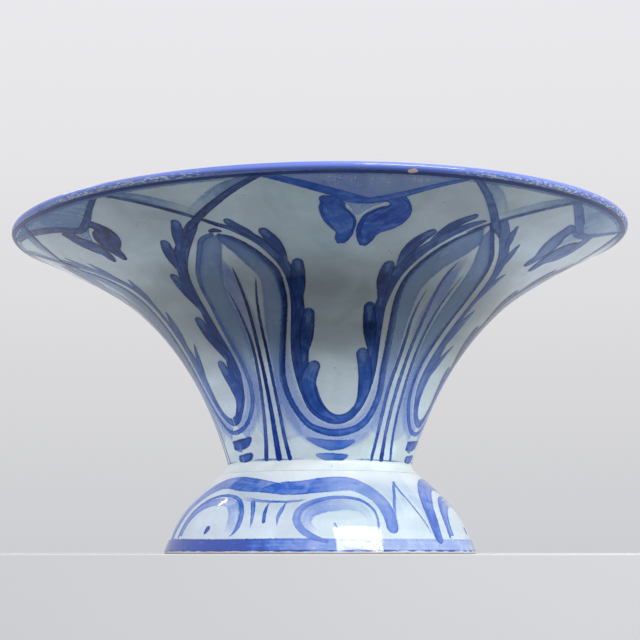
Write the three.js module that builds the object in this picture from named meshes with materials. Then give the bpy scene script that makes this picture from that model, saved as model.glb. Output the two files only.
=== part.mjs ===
// Footed bowl of glazed earthenware, in millimetres, +Z up.
// A thrown bowl with a flaring lip stands on a separately thrown, hollow spreading foot.
// The two were joined leather-hard with a coil of soft clay, pressed flat between them.
// The origin is the middle of the ring of bare clay that the foot stands on.

import * as THREE from 'three';

// Heights, stacked from the shelf upwards
const footHeight = 48.8;
const coilHeight = 3.4;
const bowlHeight = 144.3;

// Bowl, outside: a steep lower wall up to the shoulder, then a flare that runs out to the lip.
// Angles are in degrees above level. A pull share says how far a curve keeps to the
// slope at its end, as a share of its chord.
const bowlBaseRadius = 55.9;
const baseAngle = 74;
const basePullShare = 0.26;
const shoulderRadius = 113.3;
const shoulderRise = 97;
const shoulderAngle = 42;
const shoulderPullShareBelow = 0.42;
const shoulderPullShareAbove = 0.29;
const lipRadius = 190;
const lipThickness = 4.8;
const lipAngle = 22.5;
const lipPullShare = 0.17;

// Bowl, inside: a dished floor, and a wall that thins from the well to the lip.
// The well reaches up the lower wall by this share of its curve.
const floorThickness = 9.4;
const floorFlatRadius = 40;
const wellShare = 0.16;
const wellWall = 8.2;
const shoulderWall = 6.2;

// The rim warped in the kiln: it rises by this much at +X and falls by as much at -X
const rimLean = 2.7;

// Coil of clay between bowl and foot: it swells out a little past the edges it joins
const coilSwell = 0.6;
const neckBoreRadius = 47.5;

// Foot: it spreads from the neck to the ring that it stands on, and is hollow below
const footNeckRadius = 58.8;
const footNeckAngle = -39.5;
const footNeckPullShare = 0.58;
const footBaseRadius = 94.7;
const footBaseAngle = -70.5;
const footBasePullShare = 0.3;
const contactRingWidth = 7.6;
const footEdgeRound = 0.9;

// Facets: round the axis, and along each curve of the outlines
const segments = 72;
const lowerWallSteps = 9;
const flareSteps = 8;
const lipSteps = 8;
const wellSteps = 6;
const footSteps = 11;
const footEdgeSteps = 2;
const coilSteps = 5;

const bowlBase = footHeight + coilHeight;

const glaze = { color: 0xc3cdcd, roughness: 0.18, metalness: 0 };
const bowlGlaze = new THREE.MeshStandardMaterial(glaze);
const footGlaze = new THREE.MeshStandardMaterial(glaze);
const coilGlaze = new THREE.MeshStandardMaterial({ ...glaze, color: 0xa9b5b8 });

const point = (radius, height) => new THREE.Vector2(radius, height);

// The point that lies a length away from another, in a direction given in degrees
function along(start, slope, length) {
  const angle = THREE.MathUtils.degToRad(slope);
  return point(start.x + length * Math.cos(angle), start.y + length * Math.sin(angle));
}

// A curve that leaves its start and reaches its end at given slopes
function sweep(start, startSlope, startPull, end, endSlope, endPull) {
  const chord = start.distanceTo(end);
  return new THREE.CubicBezierCurve(
    start,
    along(start, startSlope, startPull * chord),
    along(end, endSlope, -endPull * chord),
    end,
  );
}

// The points of a rounded edge, from one direction round to another
function roundEdge(centre, radius, fromDegrees, toDegrees, steps) {
  const points = [];
  for (let i = 0; i <= steps; i += 1) {
    points.push(along(centre, fromDegrees + (toDegrees - fromDegrees) * i / steps, radius));
  }
  return points;
}

function turned(profile) {
  return new THREE.LatheGeometry(profile, segments).rotateX(Math.PI / 2);
}

// Raises the rim on one side and lowers it on the other, and leaves the base flat
function lean(geometry) {
  const places = geometry.attributes.position;
  for (let i = 0; i < places.count; i += 1) {
    const share = (places.getZ(i) - bowlBase) / bowlHeight;
    const rise = rimLean * share * share * places.getX(i) / lipRadius;
    places.setZ(i, places.getZ(i) + rise);
  }
  geometry.computeVertexNormals();
  return geometry;
}

function named(name, geometry, material) {
  const mesh = new THREE.Mesh(geometry, material);
  mesh.name = name;
  return mesh;
}

// The bowl's outline runs from the axis along the turned base, up the outside, over the lip,
// down the inside one wall further in, and along the dished floor back to the axis
function makeBowl() {
  const base = point(bowlBaseRadius, bowlBase);
  const shoulder = point(shoulderRadius, bowlBase + shoulderRise);
  const lipRound = lipThickness / 2;
  const lipCentre = point(lipRadius - lipRound, bowlBase + bowlHeight - lipRound);
  const lipBelow = along(lipCentre, lipAngle - 90, lipRound);
  const lipAbove = along(lipCentre, lipAngle + 90, lipRound);
  const lowerWall = sweep(
    base, baseAngle, basePullShare,
    shoulder, shoulderAngle, shoulderPullShareBelow,
  );
  const flare = sweep(
    shoulder, shoulderAngle, shoulderPullShareAbove,
    lipBelow, lipAngle, lipPullShare,
  );

  const wellFold = lowerWall.getPoint(wellShare);
  const wellAngle = THREE.MathUtils.radToDeg(lowerWall.getTangent(wellShare).angle());
  const wellTop = along(wellFold, wellAngle + 90, wellWall);
  const innerShoulder = along(shoulder, shoulderAngle + 90, shoulderWall);
  const turnedBackAngle = 180;
  const innerFlare = sweep(
    lipAbove, lipAngle + turnedBackAngle, lipPullShare,
    innerShoulder, shoulderAngle + turnedBackAngle, shoulderPullShareAbove,
  );
  const innerWall = sweep(
    innerShoulder, shoulderAngle + turnedBackAngle, shoulderPullShareBelow,
    wellTop, wellAngle + turnedBackAngle, basePullShare,
  );
  const floorTop = bowlBase + floorThickness;
  const well = new THREE.CubicBezierCurve(
    wellTop,
    along(wellTop, wellAngle + turnedBackAngle, wellWall),
    point(floorFlatRadius, floorTop),
    point(0, floorTop),
  );

  return named('bowl', lean(turned([
    point(0, bowlBase),
    ...lowerWall.getPoints(lowerWallSteps),
    ...flare.getPoints(flareSteps).slice(1, -1),
    ...roundEdge(lipCentre, lipRound, lipAngle - 90, lipAngle + 90, lipSteps),
    ...innerFlare.getPoints(flareSteps).slice(1),
    ...innerWall.getPoints(lowerWallSteps).slice(1),
    ...well.getPoints(wellSteps).slice(1),
  ])), bowlGlaze);
}

// A flat ring between the foot's neck and the bowl's base, with a soft bead outside
function makeCoil() {
  const below = point(footNeckRadius, footHeight);
  const above = point(bowlBaseRadius, bowlBase);
  const outwards = point(above.y - below.y, below.x - above.x).normalize();
  const crest = below.clone().lerp(above, 0.5).addScaledVector(outwards, 2 * coilSwell);
  const bead = new THREE.QuadraticBezierCurve(below, crest, above);

  return named('luting_coil', turned([
    point(neckBoreRadius, footHeight),
    ...bead.getPoints(coilSteps),
    point(neckBoreRadius, bowlBase),
    point(neckBoreRadius, footHeight),
  ]), coilGlaze);
}

// The foot's outline runs from the rounded outer edge up the outside, across the flat neck
// that carries the coil, down the hollow inside, and across the ring that it stands on
function makeFoot() {
  const neck = point(footNeckRadius, footHeight);
  const neckInside = point(neckBoreRadius, footHeight);
  const edgeCentre = point(footBaseRadius - footEdgeRound, footEdgeRound);
  const ringInside = point(footBaseRadius - contactRingWidth, 0);
  const ringOutside = point(footBaseRadius, footEdgeRound);
  const outside = sweep(
    neck, footNeckAngle, footNeckPullShare,
    ringOutside, footBaseAngle, footBasePullShare,
  );
  const inside = sweep(
    neckInside, footNeckAngle, footNeckPullShare,
    ringInside, footBaseAngle, footBasePullShare,
  );

  return named('foot', turned([
    ...outside.getPoints(footSteps).reverse(),
    ...inside.getPoints(footSteps),
    ...roundEdge(edgeCentre, footEdgeRound, -90, 0, footEdgeSteps),
  ]), footGlaze);
}

const footedBowl = new THREE.Group();
footedBowl.add(makeBowl(), makeCoil(), makeFoot());

export default footedBowl;
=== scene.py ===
"""Footed bowl of tin-glazed earthenware, painted in cobalt blue.

The turned forms and the brushwork are wrapped round named outlines by Geometry Nodes.
The painting is kept as a flat drawing of the unrolled wall: the first number of a point is
the angle round the axis in degrees, from the front towards +X, and the second is the length
along the wall in millimetres, up from the bowl's base or down from the foot's neck.
"""

import math

import bpy
import numpy as np
from mathutils import Matrix, Vector


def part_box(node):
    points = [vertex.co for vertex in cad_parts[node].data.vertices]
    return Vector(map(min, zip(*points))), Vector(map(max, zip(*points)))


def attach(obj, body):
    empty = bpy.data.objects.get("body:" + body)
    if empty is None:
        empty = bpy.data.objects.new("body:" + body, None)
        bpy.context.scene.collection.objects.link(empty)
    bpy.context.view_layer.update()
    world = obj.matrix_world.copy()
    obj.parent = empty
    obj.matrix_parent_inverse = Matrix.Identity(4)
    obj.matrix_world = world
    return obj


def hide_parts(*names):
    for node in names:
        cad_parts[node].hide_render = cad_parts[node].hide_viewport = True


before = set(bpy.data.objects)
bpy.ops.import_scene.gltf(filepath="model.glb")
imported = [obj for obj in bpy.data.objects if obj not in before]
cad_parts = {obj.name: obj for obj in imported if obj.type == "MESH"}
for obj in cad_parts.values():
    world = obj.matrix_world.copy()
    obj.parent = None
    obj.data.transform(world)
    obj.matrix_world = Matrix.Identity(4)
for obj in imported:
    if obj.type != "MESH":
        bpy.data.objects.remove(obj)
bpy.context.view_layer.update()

bl_info = {
    "name": "Footed bowl",
    "version": (1, 0, 0),
    "blender": (4, 5, 0),
    "location": "3D View > Sidebar > Footed bowl",
    "description": "Makes a tin-glazed footed bowl with cobalt brushwork around its packed frame",
    "category": "Object",
}

MM = 0.001

# The glaze and the paint lie a little inside the box of the fired clay
SKIN_INSET = 0.15

# Lift of the brushwork over the glaze, and of each stroke over the one before, in metres
PAINT_LIFT = 0.00004
STROKE_STEP = 0.000006

BOWL_SLOT = "bowl_glaze"
JOINT_SLOT = "joint_glaze"
FOOT_SLOT = "foot_glaze"


# Settings

def length_property(name, description, default):
    return bpy.props.FloatProperty(
        name=name, description=description, default=default, unit="LENGTH", precision=4)


def colour_property(name, description, default):
    return bpy.props.FloatVectorProperty(
        name=name, description=description, default=default,
        subtype="COLOR", size=3, min=0, max=1)


class FootedBowlSizes(bpy.types.PropertyGroup):
    """Sizes of the turned forms"""

    lip_radius: length_property("Lip radius", "Widest radius of the bowl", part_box("bowl")[1].x)
    lip_thickness: length_property("Lip thickness", "Thickness of the rounded lip", 0.0048)
    bowl_height: length_property("Bowl height", "Height of the bowl over its turned base", 0.1443)
    base_radius: length_property("Base radius", "Radius of the bowl's turned base", 0.0559)
    shoulder_radius: length_property(
        "Shoulder radius", "Radius where the steep wall turns into the flare", 0.1133)
    shoulder_rise: length_property("Shoulder rise", "Height of the shoulder over the base", 0.097)
    shoulder_wall: length_property("Shoulder wall", "Wall thickness at the shoulder", 0.0062)
    well_wall: length_property("Well wall", "Wall thickness at the edge of the well", 0.0082)
    floor_thickness: length_property("Floor thickness", "Thickness of the bowl's floor", 0.0094)
    rim_lean: length_property("Rim lean", "Rise of the warped rim at +X", 0.0027)
    base_edge: length_property("Base edge", "Rounding of the bowl's turned base", 0.0012)
    foot_radius: length_property("Foot radius", "Radius of the foot where it stands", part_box("foot")[1].x)
    foot_height: length_property("Foot height", "Height of the foot's neck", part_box("foot")[1].z)
    neck_radius: length_property("Neck radius", "Outer radius of the foot's neck", 0.0588)
    bore_radius: length_property("Bore radius", "Inner radius of the foot's neck", 0.0475)
    ring_width: length_property("Ring width", "Width of the bare ring under the foot", 0.0076)
    joint_top: length_property(
        "Joint top", "Height where the coil of clay meets the bowl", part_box("luting_coil")[1].z)
    joint_smear: length_property(
        "Joint smear", "How far the coil is wiped over the foot and up the bowl", 0.0015)
    segments: bpy.props.IntProperty(
        name="Segments", description="Facets round the axis", default=288, min=24)


class FootedBowlColours(bpy.types.PropertyGroup):
    """Colours of the glaze, the cobalt and the clay"""

    glaze: colour_property("Glaze", "Tin glaze on the bowl", (0.72, 0.84, 0.91))
    # Painted shade: a darker, greyer glaze colour laid over the outside of the bowl's shoulder
    shoulder_painted_shade: colour_property("Glaze shade", "Thin, greyer glaze on the shoulder", (0.30, 0.345, 0.365))
    foot_glaze: colour_property("Foot glaze", "Tin glaze on the foot", (0.66, 0.76, 0.88))
    # Painted light: a lighter glaze round the neck and on the joint, set against the shade under the bowl
    neck_painted_light: colour_property("Neck glaze", "Thick white glaze round the neck", (0.88, 0.95, 0.985))
    cobalt_pale: colour_property("Pale cobalt", "Thin cobalt wash", (0.25, 0.44, 0.80))
    cobalt: colour_property("Cobalt", "Cobalt laid by a full brush", (0.055, 0.125, 0.42))
    cobalt_dark: colour_property("Dark cobalt", "Cobalt where it pooled", (0.018, 0.036, 0.14))
    vivid_pale: colour_property("Pale vivid cobalt", "Thin wash of the clearer cobalt", (0.34, 0.47, 0.96))
    vivid: colour_property("Vivid cobalt", "Clearer cobalt laid by a full brush", (0.045, 0.175, 0.71))
    vivid_dark: colour_property("Dark vivid cobalt", "Clearer cobalt where it pooled", (0.008, 0.06, 0.41))
    lip_blue: colour_property("Lip blue", "Blue of the lip band", (0.17, 0.26, 0.87))
    clay: colour_property("Clay", "Bare fired clay", (0.56, 0.30, 0.155))
    chip: colour_property("Chip", "Clay where the lip is chipped", (1.0, 0.78, 0.62))
    speck: colour_property("Speck", "Iron specks in the glaze", (0.03, 0.03, 0.04))
    shelf: colour_property("Shelf", "Floor under the bowl", (0.77, 0.78, 0.80))


class FootedBowlSettings(bpy.types.PropertyGroup):
    """Everything that a user may set"""

    sizes: bpy.props.PointerProperty(type=FootedBowlSizes)
    colours: bpy.props.PointerProperty(type=FootedBowlColours)
    copies: bpy.props.IntProperty(
        name="Pattern repeats", description="Times that the painted pattern goes round",
        default=3, min=1)
    hand_wobble: length_property("Hand wobble", "How far the repeats stray from each other", 0.0011)
    seed: bpy.props.IntProperty(
        name="Seed", description="Seed of what is random", default=7)


# Outlines, as points of radius and height in millimetres

def heading(degrees):
    turn = math.radians(degrees)
    return np.array([math.cos(turn), math.sin(turn)])


def sweep(start, start_angle, start_pull, end, end_angle, end_pull, steps):
    """Points of a curve that leaves start and reaches end at given angles"""
    start, end = np.array(start, float), np.array(end, float)
    chord = np.linalg.norm(end - start)
    first = start + start_pull * chord * heading(start_angle)
    second = end - end_pull * chord * heading(end_angle)
    return bezier((start, first, second, end), steps)


def bezier(handles, steps):
    a, b, c, d = (np.array(handle, float) for handle in handles)
    t = np.linspace(0, 1, steps + 1)[:, None]
    return (1 - t) ** 3 * a + 3 * (1 - t) ** 2 * t * b + 3 * (1 - t) * t ** 2 * c + t ** 3 * d


def arc(centre, radius, from_degrees, to_degrees, steps):
    turns = np.linspace(from_degrees, to_degrees, steps + 1)
    return np.array([centre + radius * heading(turn) for turn in turns])


def joined(*runs):
    """One outline from runs that share their ends"""
    points = [runs[0]]
    for run in runs[1:]:
        points.append(run[1:])
    return np.vstack(points)


def lengths_of(outline):
    steps = np.linalg.norm(np.diff(outline, axis=0), axis=1)
    return np.concatenate([[0], np.cumsum(steps)])


# Slopes in degrees over level, and how far a curve keeps to the slope at its end
BASE_ANGLE, BASE_PULL = 74, 0.26
SHOULDER_ANGLE, SHOULDER_PULL_BELOW, SHOULDER_PULL_ABOVE = 42, 0.42, 0.29
LIP_ANGLE, LIP_PULL = 22.5, 0.17
NECK_ANGLE, NECK_PULL = -39.5, 0.58
FOOT_ANGLE, FOOT_PULL = -70.5, 0.3
TURN_BACK = 180

# The well reaches up this share of the lower wall, and its floor is flat out to this radius
WELL_SHARE, WELL_FLAT_RADIUS = 0.16, 40
FOOT_EDGE = 0.9

# Facets along each curve
WALL_STEPS, FLARE_STEPS, LIP_STEPS = 40, 34, 14
INNER_FLARE_STEPS, INNER_WALL_STEPS, WELL_STEPS = 24, 26, 12
BASE_STEPS, BASE_EDGE_STEPS, FILLET_STEPS = 4, 6, 12
FOOT_STEPS, FOOT_INNER_STEPS, FOOT_EDGE_STEPS, FOOT_FLAT_STEPS = 40, 26, 5, 3

# Least step from a rounded edge to the next point of the wall
LEAST_STEP = 0.4

# The painting starts on the rounded edge, this many facets round it
PAINT_START = 2

# Run of the wiped clay for each millimetre that it falls on the foot, or climbs on the bowl
RUN_ON_FOOT, RUN_ON_BOWL = 1.2, 0.29

# How deep the hollow of the wiped clay lies, inwards and down from the bowl's corner
FILLET_HOLLOW = (0.1, 0.6)

# How far the joint's own edges keep back under the foot's neck and the bowl's base
NECK_TUCK, BASE_TUCK = 0.3, 1.5


def bowl_outlines(sizes):
    """The bowl's whole outline from axis to axis, and the run of it that is painted"""
    base_height = sizes.joint_top / MM
    corner = np.array([sizes.base_radius / MM, base_height])
    edge = sizes.base_edge / MM
    shoulder = np.array([sizes.shoulder_radius, sizes.joint_top + sizes.shoulder_rise]) / MM
    lip_round = sizes.lip_thickness / MM / 2
    lip_centre = np.array([sizes.lip_radius, sizes.joint_top + sizes.bowl_height]) / MM - lip_round
    lip_round -= SKIN_INSET
    below = lip_centre + lip_round * heading(LIP_ANGLE - 90)
    above = lip_centre + lip_round * heading(LIP_ANGLE + 90)

    full_wall = sweep(corner, BASE_ANGLE, BASE_PULL,
                      shoulder, SHOULDER_ANGLE, SHOULDER_PULL_BELOW, WALL_STEPS)
    flare = sweep(shoulder, SHOULDER_ANGLE, SHOULDER_PULL_ABOVE, below, LIP_ANGLE, LIP_PULL, FLARE_STEPS)
    lip = arc(lip_centre, lip_round, LIP_ANGLE - 90, LIP_ANGLE + 90, LIP_STEPS)

    setback = edge * math.tan(math.radians(BASE_ANGLE / 2))
    edge_start = corner - [setback, 0]
    edge_round = arc(edge_start + [0, edge], edge, -90, BASE_ANGLE - 90, BASE_EDGE_STEPS)
    wall_start = edge_round[-1]
    wall = np.vstack([wall_start, full_wall[full_wall[:, 1] > wall_start[1] + LEAST_STEP]])

    fold = int(round(WELL_SHARE * WALL_STEPS))
    run, rise = full_wall[fold + 1] - full_wall[fold - 1]
    well_angle = math.degrees(math.atan2(rise, run))
    well_top = full_wall[fold] + sizes.well_wall / MM * heading(well_angle + 90)
    inner_shoulder = shoulder + sizes.shoulder_wall / MM * heading(SHOULDER_ANGLE + 90)
    inner_flare = sweep(above, LIP_ANGLE + TURN_BACK, LIP_PULL,
                        inner_shoulder, SHOULDER_ANGLE + TURN_BACK, SHOULDER_PULL_ABOVE, INNER_FLARE_STEPS)
    inner_wall = sweep(inner_shoulder, SHOULDER_ANGLE + TURN_BACK, SHOULDER_PULL_BELOW,
                       well_top, well_angle + TURN_BACK, BASE_PULL, INNER_WALL_STEPS)
    floor_top = base_height + sizes.floor_thickness / MM
    well = bezier((well_top, well_top + sizes.well_wall / MM * heading(well_angle + TURN_BACK),
                   (WELL_FLAT_RADIUS, floor_top), (0, floor_top)), WELL_STEPS)
    base = np.linspace([0, base_height], edge_start, BASE_STEPS + 1)
    whole = joined(base, edge_round, wall, flare, lip, inner_flare, inner_wall, well)
    painted = joined(edge_round[PAINT_START:], wall, flare, lip, inner_flare)
    return whole, painted


def joint_outline(sizes):
    """The coil of clay, wiped out over the foot and up the bowl's wall in a soft hollow curve"""
    foot_top, bowl_base = sizes.foot_height / MM, sizes.joint_top / MM
    bore = sizes.bore_radius / MM
    neck, base = sizes.neck_radius / MM, sizes.base_radius / MM
    wiped = sizes.joint_smear / MM
    below = np.array([neck + RUN_ON_FOOT * wiped, foot_top - wiped])
    above = np.array([base + RUN_ON_BOWL * wiped, bowl_base + wiped])
    hollow = np.array([base, bowl_base]) - FILLET_HOLLOW
    t = np.linspace(0, 1, FILLET_STEPS + 1)[:, None]
    fillet = (1 - t) ** 2 * below + 2 * t * (1 - t) * hollow + t ** 2 * above
    return np.vstack([[bore, foot_top], [neck - NECK_TUCK, foot_top], fillet,
                      [base - BASE_TUCK, bowl_base], [bore, bowl_base], [bore, foot_top]])


def foot_outlines(sizes):
    """The foot's whole outline, closed on itself, and its painted outside from the edge up"""
    neck = np.array([sizes.neck_radius, sizes.foot_height]) / MM
    bore = np.array([sizes.bore_radius, sizes.foot_height]) / MM
    foot = sizes.foot_radius / MM - SKIN_INSET
    ring_inside = np.array([foot - sizes.ring_width / MM, 0.0])
    ring_outside = np.array([foot, FOOT_EDGE])
    outside = sweep(neck, NECK_ANGLE, NECK_PULL, ring_outside, FOOT_ANGLE, FOOT_PULL, FOOT_STEPS)[::-1]
    inside = sweep(bore, NECK_ANGLE, NECK_PULL, ring_inside, FOOT_ANGLE, FOOT_PULL, FOOT_INNER_STEPS)
    edge = arc(ring_outside - [FOOT_EDGE, 0], FOOT_EDGE, -90, 0, FOOT_EDGE_STEPS)
    ring = np.linspace(ring_inside, edge[0], FOOT_FLAT_STEPS + 1)
    top = np.linspace(outside[-1], bore, FOOT_FLAT_STEPS + 1)
    return joined(ring, edge, outside, top, inside), joined(edge[PAINT_START:], outside)


# Node helpers

def add_node(tree, kind, inputs=None, **settings):
    """A node with its settings, and its inputs set by name or number to a value or a link"""
    node = tree.nodes.new(kind)
    for name, value in settings.items():
        setattr(node, name, value)
    for key, value in (inputs or {}).items():
        if isinstance(value, bpy.types.NodeSocket):
            tree.links.new(value, node.inputs[key])
        else:
            node.inputs[key].default_value = value
    return node


def maths(tree, operation, *values):
    return add_node(tree, "ShaderNodeMath", dict(enumerate(values)), operation=operation).outputs[0]


def vector_maths(tree, operation, *values):
    node = add_node(tree, "ShaderNodeVectorMath", dict(enumerate(values)), operation=operation)
    return node.outputs["Vector"]


def scaled_vector(tree, vector, factor):
    inputs = {"Vector": vector, "Scale": factor}
    return add_node(tree, "ShaderNodeVectorMath", inputs, operation="SCALE").outputs["Vector"]


def ramped(tree, value, low, high, to_low=0.0, to_high=1.0, smooth=False):
    inputs = {"Value": value, "From Min": low, "From Max": high, "To Min": to_low, "To Max": to_high}
    kind = "SMOOTHSTEP" if smooth else "LINEAR"
    return add_node(tree, "ShaderNodeMapRange", inputs, interpolation_type=kind).outputs["Result"]


def combined(tree, x, y, z):
    return add_node(tree, "ShaderNodeCombineXYZ", {"X": x, "Y": y, "Z": z}).outputs["Vector"]


def noise(tree, vector, scale, detail=2.0, distortion=0.0):
    inputs = {"Vector": vector, "Scale": scale, "Detail": detail, "Distortion": distortion}
    return add_node(tree, "ShaderNodeTexNoise", inputs).outputs["Fac"]


def height_of(tree, place):
    return add_node(tree, "ShaderNodeSeparateXYZ", {0: place}).outputs["Z"]


def grey(tree, value):
    return combined(tree, value, value, value)


def add_socket(tree, name, kind, direction="INPUT", **settings):
    socket = tree.interface.new_socket(name=name, in_out=direction, socket_type=kind)
    for key, value in settings.items():
        setattr(socket, key, value)
    return socket


# Geometry Nodes

def lean_group():
    """Node group that lifts a point on one side of the rim and lowers it on the other"""
    tree = bpy.data.node_groups.get("Kiln lean")
    if tree:
        return tree
    tree = bpy.data.node_groups.new("Kiln lean", "GeometryNodeTree")
    add_socket(tree, "Point", "NodeSocketVector")
    for name in ("Lean", "Base", "Height", "Radius"):
        add_socket(tree, name, "NodeSocketFloat", subtype="DISTANCE")
    add_socket(tree, "Point", "NodeSocketVector", "OUTPUT")
    given = tree.nodes.new("NodeGroupInput").outputs
    parts = add_node(tree, "ShaderNodeSeparateXYZ", {0: given["Point"]}).outputs
    above = maths(tree, "SUBTRACT", parts["Z"], given["Base"])
    share = maths(tree, "MAXIMUM", maths(tree, "DIVIDE", above, given["Height"]), 0.0)
    side = maths(tree, "DIVIDE", parts["X"], given["Radius"])
    rise = maths(tree, "MULTIPLY", maths(tree, "MULTIPLY", share, share), side)
    height = maths(tree, "ADD", parts["Z"], maths(tree, "MULTIPLY", rise, given["Lean"]))
    raised = combined(tree, parts["X"], parts["Y"], height)
    add_node(tree, "NodeGroupOutput", {"Point": raised})
    return tree


def add_lean_sockets(tree):
    for name in ("Lean", "Lean base", "Lean height", "Lip radius"):
        add_socket(tree, name, "NodeSocketFloat", subtype="DISTANCE", default_value=1.0)


def leaned(tree, point, given):
    inputs = {"Point": point, "Lean": given["Lean"], "Base": given["Lean base"],
              "Height": given["Lean height"], "Radius": given["Lip radius"]}
    return add_node(tree, "GeometryNodeGroup", inputs, node_tree=lean_group()).outputs["Point"]


def finish_tree(tree, geometry, material):
    """Ends a tree: smooth faces, real geometry and its material"""
    smooth = add_node(tree, "GeometryNodeSetShadeSmooth", {"Geometry": geometry})
    real = add_node(tree, "GeometryNodeRealizeInstances", {"Geometry": smooth.outputs["Geometry"]})
    dressed = add_node(tree, "GeometryNodeSetMaterial",
                       {"Geometry": real.outputs["Geometry"], "Material": material})
    add_node(tree, "NodeGroupOutput", {"Geometry": dressed.outputs["Geometry"]})


def turned_form_tree():
    """Turns an outline round the axis and closes the seam and the poles"""
    tree = bpy.data.node_groups.get("Turned form")
    if tree:
        return tree
    tree = bpy.data.node_groups.new("Turned form", "GeometryNodeTree")
    add_socket(tree, "Geometry", "NodeSocketGeometry", "OUTPUT")
    add_socket(tree, "Geometry", "NodeSocketGeometry")
    add_socket(tree, "Outline", "NodeSocketObject")
    add_socket(tree, "Segments", "NodeSocketInt", default_value=64)
    add_lean_sockets(tree)
    add_socket(tree, "Weld distance", "NodeSocketFloat", subtype="DISTANCE", default_value=0.00001)
    add_socket(tree, "Material", "NodeSocketMaterial")
    given = tree.nodes.new("NodeGroupInput").outputs

    curve = add_node(tree, "GeometryNodeObjectInfo", {"Object": given["Outline"]}).outputs["Geometry"]
    rows = add_node(tree, "GeometryNodeAttributeDomainSize", {"Geometry": curve},
                    component="CURVE").outputs["Point Count"]
    columns = maths(tree, "ADD", given["Segments"], 1.0)
    grid = add_node(tree, "GeometryNodeMeshGrid", {
        "Size X": 1.0, "Size Y": 1.0, "Vertices X": columns, "Vertices Y": rows}).outputs["Mesh"]
    position = tree.nodes.new("GeometryNodeInputPosition").outputs["Position"]
    place = add_node(tree, "ShaderNodeSeparateXYZ", {0: position}).outputs
    share = maths(tree, "ADD", place["Y"], 0.5)
    row = maths(tree, "MULTIPLY", share, maths(tree, "SUBTRACT", rows, 1.0))
    index = add_node(tree, "FunctionNodeFloatToInt", {0: row}, rounding_mode="ROUND").outputs[0]
    point = add_node(tree, "GeometryNodeSampleIndex", {
        "Geometry": curve, "Value": position, "Index": index},
        data_type="FLOAT_VECTOR", domain="POINT").outputs["Value"]
    turn = maths(tree, "MULTIPLY", maths(tree, "ADD", place["X"], 0.5), 2 * math.pi)
    turned = add_node(tree, "ShaderNodeVectorRotate", {"Vector": point, "Angle": turn},
                      rotation_type="Z_AXIS").outputs["Vector"]
    marked = add_node(tree, "GeometryNodeStoreNamedAttribute", {
        "Geometry": grid, "Name": "outline_row", "Value": row},
        data_type="FLOAT", domain="POINT").outputs["Geometry"]
    shaped = add_node(tree, "GeometryNodeSetPosition", {
        "Geometry": marked, "Position": leaned(tree, turned, given)}).outputs["Geometry"]
    welded = add_node(tree, "GeometryNodeMergeByDistance", {
        "Geometry": shaped, "Distance": given["Weld distance"]}).outputs["Geometry"]
    finish_tree(tree, welded, given["Material"])
    return tree


# How fast the hand's wobble changes round the axis and along the wall
WOBBLE_AROUND, WOBBLE_ALONG = 3.2, 0.03

# The wobble starts where the wall turns away from the front: cosine of the angle, from and to
WOBBLE_FROM, WOBBLE_TO = 0.45, -0.1
WOBBLE_GAIN = 4.0


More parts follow.
